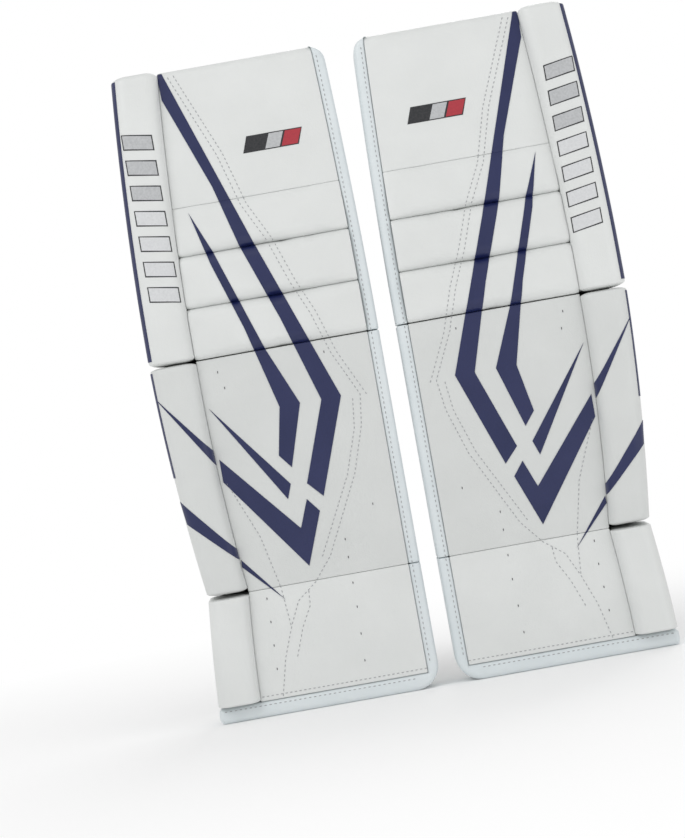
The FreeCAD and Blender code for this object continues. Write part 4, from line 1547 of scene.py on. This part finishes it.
BUCKLE_THICK = 11
BUCKLE_WALL = 2.5
BUCKLE_PLAY = 0.3
PRONG = (23, 5.4, 6)
BUCKLE_WIDTH = WEB_WIDTH + 2 * (PRONG[2] + 2 * BUCKLE_PLAY + BUCKLE_WALL)


def ringed(rings, corner, closed_loop=False):
    """A solid lofted through rounded rectangles: (x, half width, half thickness) each."""
    points, faces = [], []
    turns = np.radians(np.arange(0, 360, 9) + 4.5)
    for x, half_width, half_thick in rings:
        bend = min(corner, half_thick * 0.9)
        across = np.sign(np.cos(turns)) * (half_width - bend) + bend * np.cos(turns)
        deep = np.sign(np.sin(turns)) * (half_thick - bend) + bend * np.sin(turns)
        points.append(np.stack((np.full(len(turns), x), deep, across), axis=1))
    count = len(turns)
    last = len(rings) if closed_loop else len(rings) - 1
    for row in range(last):
        here, there = row * count, (row + 1) % len(rings) * count
        for place in range(count):
            after = (place + 1) % count
            faces.append((here + place, here + after, there + after, there + place))
    if not closed_loop:
        faces.append(tuple(range(count)))
        faces.append(tuple(len(rings) * count - 1 - place for place in range(count)))
    return np.concatenate(points), faces


def outward(points, faces):
    """The faces, all turned the same way if they enclose a negative volume."""
    volume = 0
    for face in faces:
        for second, third in zip(face[1:], face[2:]):
            volume += np.dot(points[face[0]], np.cross(points[second], points[third]))
    return faces if volume > 0 else [face[::-1] for face in faces]


plastic = plastic_material()
half_w, half_t = BUCKLE_WIDTH / 2, BUCKLE_THICK / 2
room_w, room_t = half_w - BUCKLE_WALL, half_t - BUCKLE_WALL
slot_w, slot_t = WEB_WIDTH / 2 + BUCKLE_PLAY, WEB_THICK / 2 + BUCKLE_PLAY
socket_rings = (
    (22.5, room_w - 1, room_t - 1), (22, room_w, room_t), (0.7, room_w, room_t),
    (0, room_w + 0.6, room_t + 0.6), (0, half_w - 0.9, half_t - 0.9), (0.9, half_w, half_t),
    (7, half_w, half_t), (8.5, half_w - 0.9, half_t - 0.7), (13, half_w - 0.9, half_t - 0.7),
    (14.5, half_w, half_t), (24, half_w, half_t), (26.6, half_w - 1.4, half_t - 0.8),
    (28, half_w - 3, half_t - 2.2),
)
tail_rings = (
    (-19.4, slot_w, slot_t), (-0.9, slot_w, slot_t), (-0.3, slot_w + 0.6, slot_t + 0.6),
    (-0.3, half_w - 0.9, half_t - 0.9), (-1.2, half_w, half_t), (-5, half_w, half_t),
    (-6, half_w - 0.8, half_t - 0.8), (-7, half_w, half_t), (-9, half_w, half_t),
    (-10, half_w - 0.8, half_t - 0.8), (-11, half_w, half_t), (-13, half_w, half_t),
    (-14, half_w - 0.8, half_t - 0.8), (-15, half_w, half_t), (-18.6, half_w - 0.5, half_t),
    (-20, half_w - 2, half_t - 1.5), (-20, slot_w + 0.6, slot_t + 0.6),
)
buckle_middle = np.array((0, WEB_DEPTH + WEB_THICK / 2, WEB_HEIGHT))
solids = {"buckle_socket": [ringed(socket_rings, 3)], "buckle_clip": [ringed(tail_rings, 3, True)]}
for way in (-1, 1):
    prong, prong_faces = stuffed_block(PRONG, ((1, 2.4), (1.2, 1.2), (1.2, 1.2)), step=3)
    middle = way * (slot_w + PRONG[2] / 2)
    prong = prong + (-3, -PRONG[1] / 2, middle - PRONG[2] / 2)
    solids["buckle_clip"].append((prong, [tuple(face) for face in prong_faces]))
for name, parts in solids.items():
    points, faces = [], []
    for part, part_faces in parts:
        first = sum(len(done) for done in points)
        faces += [tuple(int(i) + first for i in face) for face in outward(part, part_faces)]
        points.append(part)
    points = turned(np.concatenate(points) + buckle_middle, ANKLE, TOE_LEAN)
    for side, piece in both_pads(name, points, faces, plastic, sharp=30).items():
        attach(piece, f"{side}_boot" if name == "buckle_socket" else f"{side}_buckle_clip")
        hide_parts(f"{side}_{name}")

# ---- Toe bridge -------------------------------------------------------------------------------
# A stiff leather bridge behind the toe, on two feet, with two steel eyelets for the toe ties.

BRIDGE_HALF = 46
BRIDGE_SPAN = (24, 56)
BRIDGE_STAND = 12
BRIDGE_THICK = 4
BRIDGE_FOOT = 10
EYELET_X = 22
EYELET_BORE = 4
EYELET_RIM = 2.5

outline = (
    (-BRIDGE_HALF, 0),
    (-BRIDGE_HALF, BRIDGE_STAND + BRIDGE_THICK),
    (BRIDGE_HALF, BRIDGE_STAND + BRIDGE_THICK),
    (BRIDGE_HALF, 0),
    (BRIDGE_HALF - BRIDGE_FOOT, 0),
    (BRIDGE_HALF - BRIDGE_FOOT, BRIDGE_STAND),
    (BRIDGE_FOOT - BRIDGE_HALF, BRIDGE_STAND),
    (BRIDGE_FOOT - BRIDGE_HALF, 0),
)
shell = bmesh.new()
corners = [shell.verts.new((x, CORE_BACK + y, BRIDGE_SPAN[0])) for x, y in outline]
floor_face = shell.faces.new(corners)
lifted = bmesh.ops.extrude_face_region(shell, geom=[floor_face])
risen = [part for part in lifted["geom"] if isinstance(part, bmesh.types.BMVert)]
bmesh.ops.translate(shell, verts=risen, vec=(0, 0, BRIDGE_SPAN[1] - BRIDGE_SPAN[0]))
bmesh.ops.recalc_face_normals(shell, faces=shell.faces)
bmesh.ops.bevel(shell, geom=shell.edges, offset=1.1, segments=3, profile=0.5, affect="EDGES")
bridge_mesh = bpy.data.meshes.new("bridge")
shell.to_mesh(bridge_mesh)
shell.free()
bridge = bpy.data.objects.new("bridge", bridge_mesh)
bpy.context.scene.collection.objects.link(bridge)
hole = EYELET_BORE + 1
lay_back = Vector((0, 0, 1)).rotation_difference(Vector((0, 1, 0))).to_matrix()
for x in (-EYELET_X, EYELET_X):
    drill_mesh = bpy.data.meshes.new("drill")
    drill_shape = bmesh.new()
    place = (x, CORE_BACK + 20, sum(BRIDGE_SPAN) / 2)
    bmesh.ops.create_cone(
        drill_shape, cap_ends=True, segments=40, radius1=hole, radius2=hole, depth=60
    )
    bmesh.ops.rotate(drill_shape, verts=drill_shape.verts, matrix=lay_back)
    bmesh.ops.translate(drill_shape, verts=drill_shape.verts, vec=place)
    drill_shape.to_mesh(drill_mesh)
    drill_shape.free()
    drill = bpy.data.objects.new("drill", drill_mesh)
    cut = bridge.modifiers.new("Drill", "BOOLEAN")
    cut.object = drill
    cut.solver = "EXACT"
graph = bpy.context.evaluated_depsgraph_get()
drilled = bpy.data.meshes.new_from_object(bridge.evaluated_get(graph))
points = np.array([vertex.co[:] for vertex in drilled.vertices])
faces = [tuple(face.vertices) for face in drilled.polygons]
bpy.data.objects.remove(bridge)
points = turned(points, ANKLE, TOE_LEAN)
for side, piece in both_pads("bridge_leather", points, faces, black_leather, sharp=35).items():
    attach(piece, f"{side}_boot")
    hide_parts(f"{side}_toe_bridge")

out_y = BRIDGE_STAND + BRIDGE_THICK
eyelet_places = np.array([(x, CORE_BACK + out_y, sum(BRIDGE_SPAN) / 2) for x in (-EYELET_X, EYELET_X)])
lean_back = np.array((0, math.cos(math.radians(TOE_LEAN)), -math.sin(math.radians(TOE_LEAN))))
bore, sleeve, rim = EYELET_BORE, EYELET_BORE + 0.9, EYELET_BORE + EYELET_RIM
eyelet_profile = (
    (bore, -4.2),
    (bore, 0.4),
    (bore + 0.4, 0.75),
    (bore + 1.2, 0.8),
    (rim - 0.4, 0.6),
    (rim, 0.1),
    (rim - 0.1, -0.1),
    (sleeve, -0.1),
    (sleeve, -4.2),
)
eyelet = lathed("eyelet", eyelet_profile)
eyelet_normals = np.tile(lean_back, (2, 1))
places = turned(eyelet_places, ANKLE, TOE_LEAN)
for side, piece in instanced("eyelets", places, eyelet_normals, eyelet, steel).items():
    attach(piece, f"{side}_boot")
    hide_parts(f"{side}_toe_bridge")

# ---- Floor, lights and camera -----------------------------------------------------------------
# A plain pale floor and soft, even studio light. The camera looks straight at the faces, rolled a
# little so that the pads lean in the view. The view takes in one metre of height.

VIEW_HEIGHT = 1.0067
CAMERA_AWAY = 3.0
CAMERA_ROLL = 10.05
AIM = (-0.0726, 0.335)

face_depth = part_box("left_shin_face")[0].y
camera_data = bpy.data.cameras.new("camera")
camera_data.lens = camera_data.sensor_width * CAMERA_AWAY / VIEW_HEIGHT
camera = bpy.data.objects.new("camera", camera_data)
camera.location = (AIM[0], face_depth - CAMERA_AWAY, AIM[1])
camera.rotation_euler = (math.radians(90), math.radians(CAMERA_ROLL), 0)
bpy.context.scene.collection.objects.link(camera)
bpy.context.scene.camera = camera
bpy.context.scene.view_settings.view_transform = "Standard"

floor_mesh = bpy.data.meshes.new("floor")
disc = bmesh.new()
bmesh.ops.create_circle(disc, cap_ends=True, segments=96, radius=9)
disc.to_mesh(floor_mesh)
disc.free()
floor = bpy.data.objects.new("floor", floor_mesh)
bpy.context.scene.collection.objects.link(floor)
pale, nodes, link, shader = new_material("pale_floor", (0.97, 0.97, 0.97), 0.9)
place = nodes.new("ShaderNodeTexCoord")
distance = nodes.new("ShaderNodeVectorMath")
distance.operation = "LENGTH"
link(place.outputs["Object"], distance.inputs[0])
fade = nodes.new("ShaderNodeMapRange")
fade.inputs["From Min"].default_value = 0.35
fade.inputs["From Max"].default_value = 1.3
link(distance.outputs["Value"], fade.inputs["Value"])
glow = nodes.new("ShaderNodeEmission")
mix = nodes.new("ShaderNodeMixShader")
link(fade.outputs["Result"], mix.inputs["Fac"])
link(shader.outputs["BSDF"], mix.inputs[1])
link(glow.outputs["Emission"], mix.inputs[2])
link(mix.outputs["Shader"], nodes["Material Output"].inputs["Surface"])
floor_mesh.materials.append(pale)

world = bpy.data.worlds.new("studio")
world.use_nodes = True
nodes, link = world.node_tree.nodes, world.node_tree.links.new
seen = nodes.new("ShaderNodeLightPath")
white_paper = nodes.new("ShaderNodeBackground")
both = nodes.new("ShaderNodeMixShader")
nodes["Background"].inputs["Color"].default_value = (1, 1, 1, 1)
nodes["Background"].inputs["Strength"].default_value = 0.72
white_paper.inputs["Color"].default_value = (1, 1, 1, 1)
link(seen.outputs["Is Camera Ray"], both.inputs["Fac"])
link(nodes["Background"].outputs["Background"], both.inputs[1])
link(white_paper.outputs["Background"], both.inputs[2])
link(both.outputs["Shader"], nodes["World Output"].inputs["Surface"])
bpy.context.scene.world = world

lamps = {
    "key_light": ((-1.6, -1.9, 2.4), 22, 1.4),
    "fill_light": ((1.9, -1.6, 1.0), 7, 1.6),
    "back_light": ((0.8, 2.2, 2.0), 16, 1.6),
}
for name, (place, power, width) in lamps.items():
    data = bpy.data.lights.new(name, "AREA")
    data.energy = power
    data.size = width
    lamp = bpy.data.objects.new(name, data)
    lamp.location = place
    aim = Vector((0, 0, 0.4)) - Vector(place)
    lamp.rotation_euler = aim.to_track_quat("-Z", "Y").to_euler()
    bpy.context.scene.collection.objects.link(lamp)
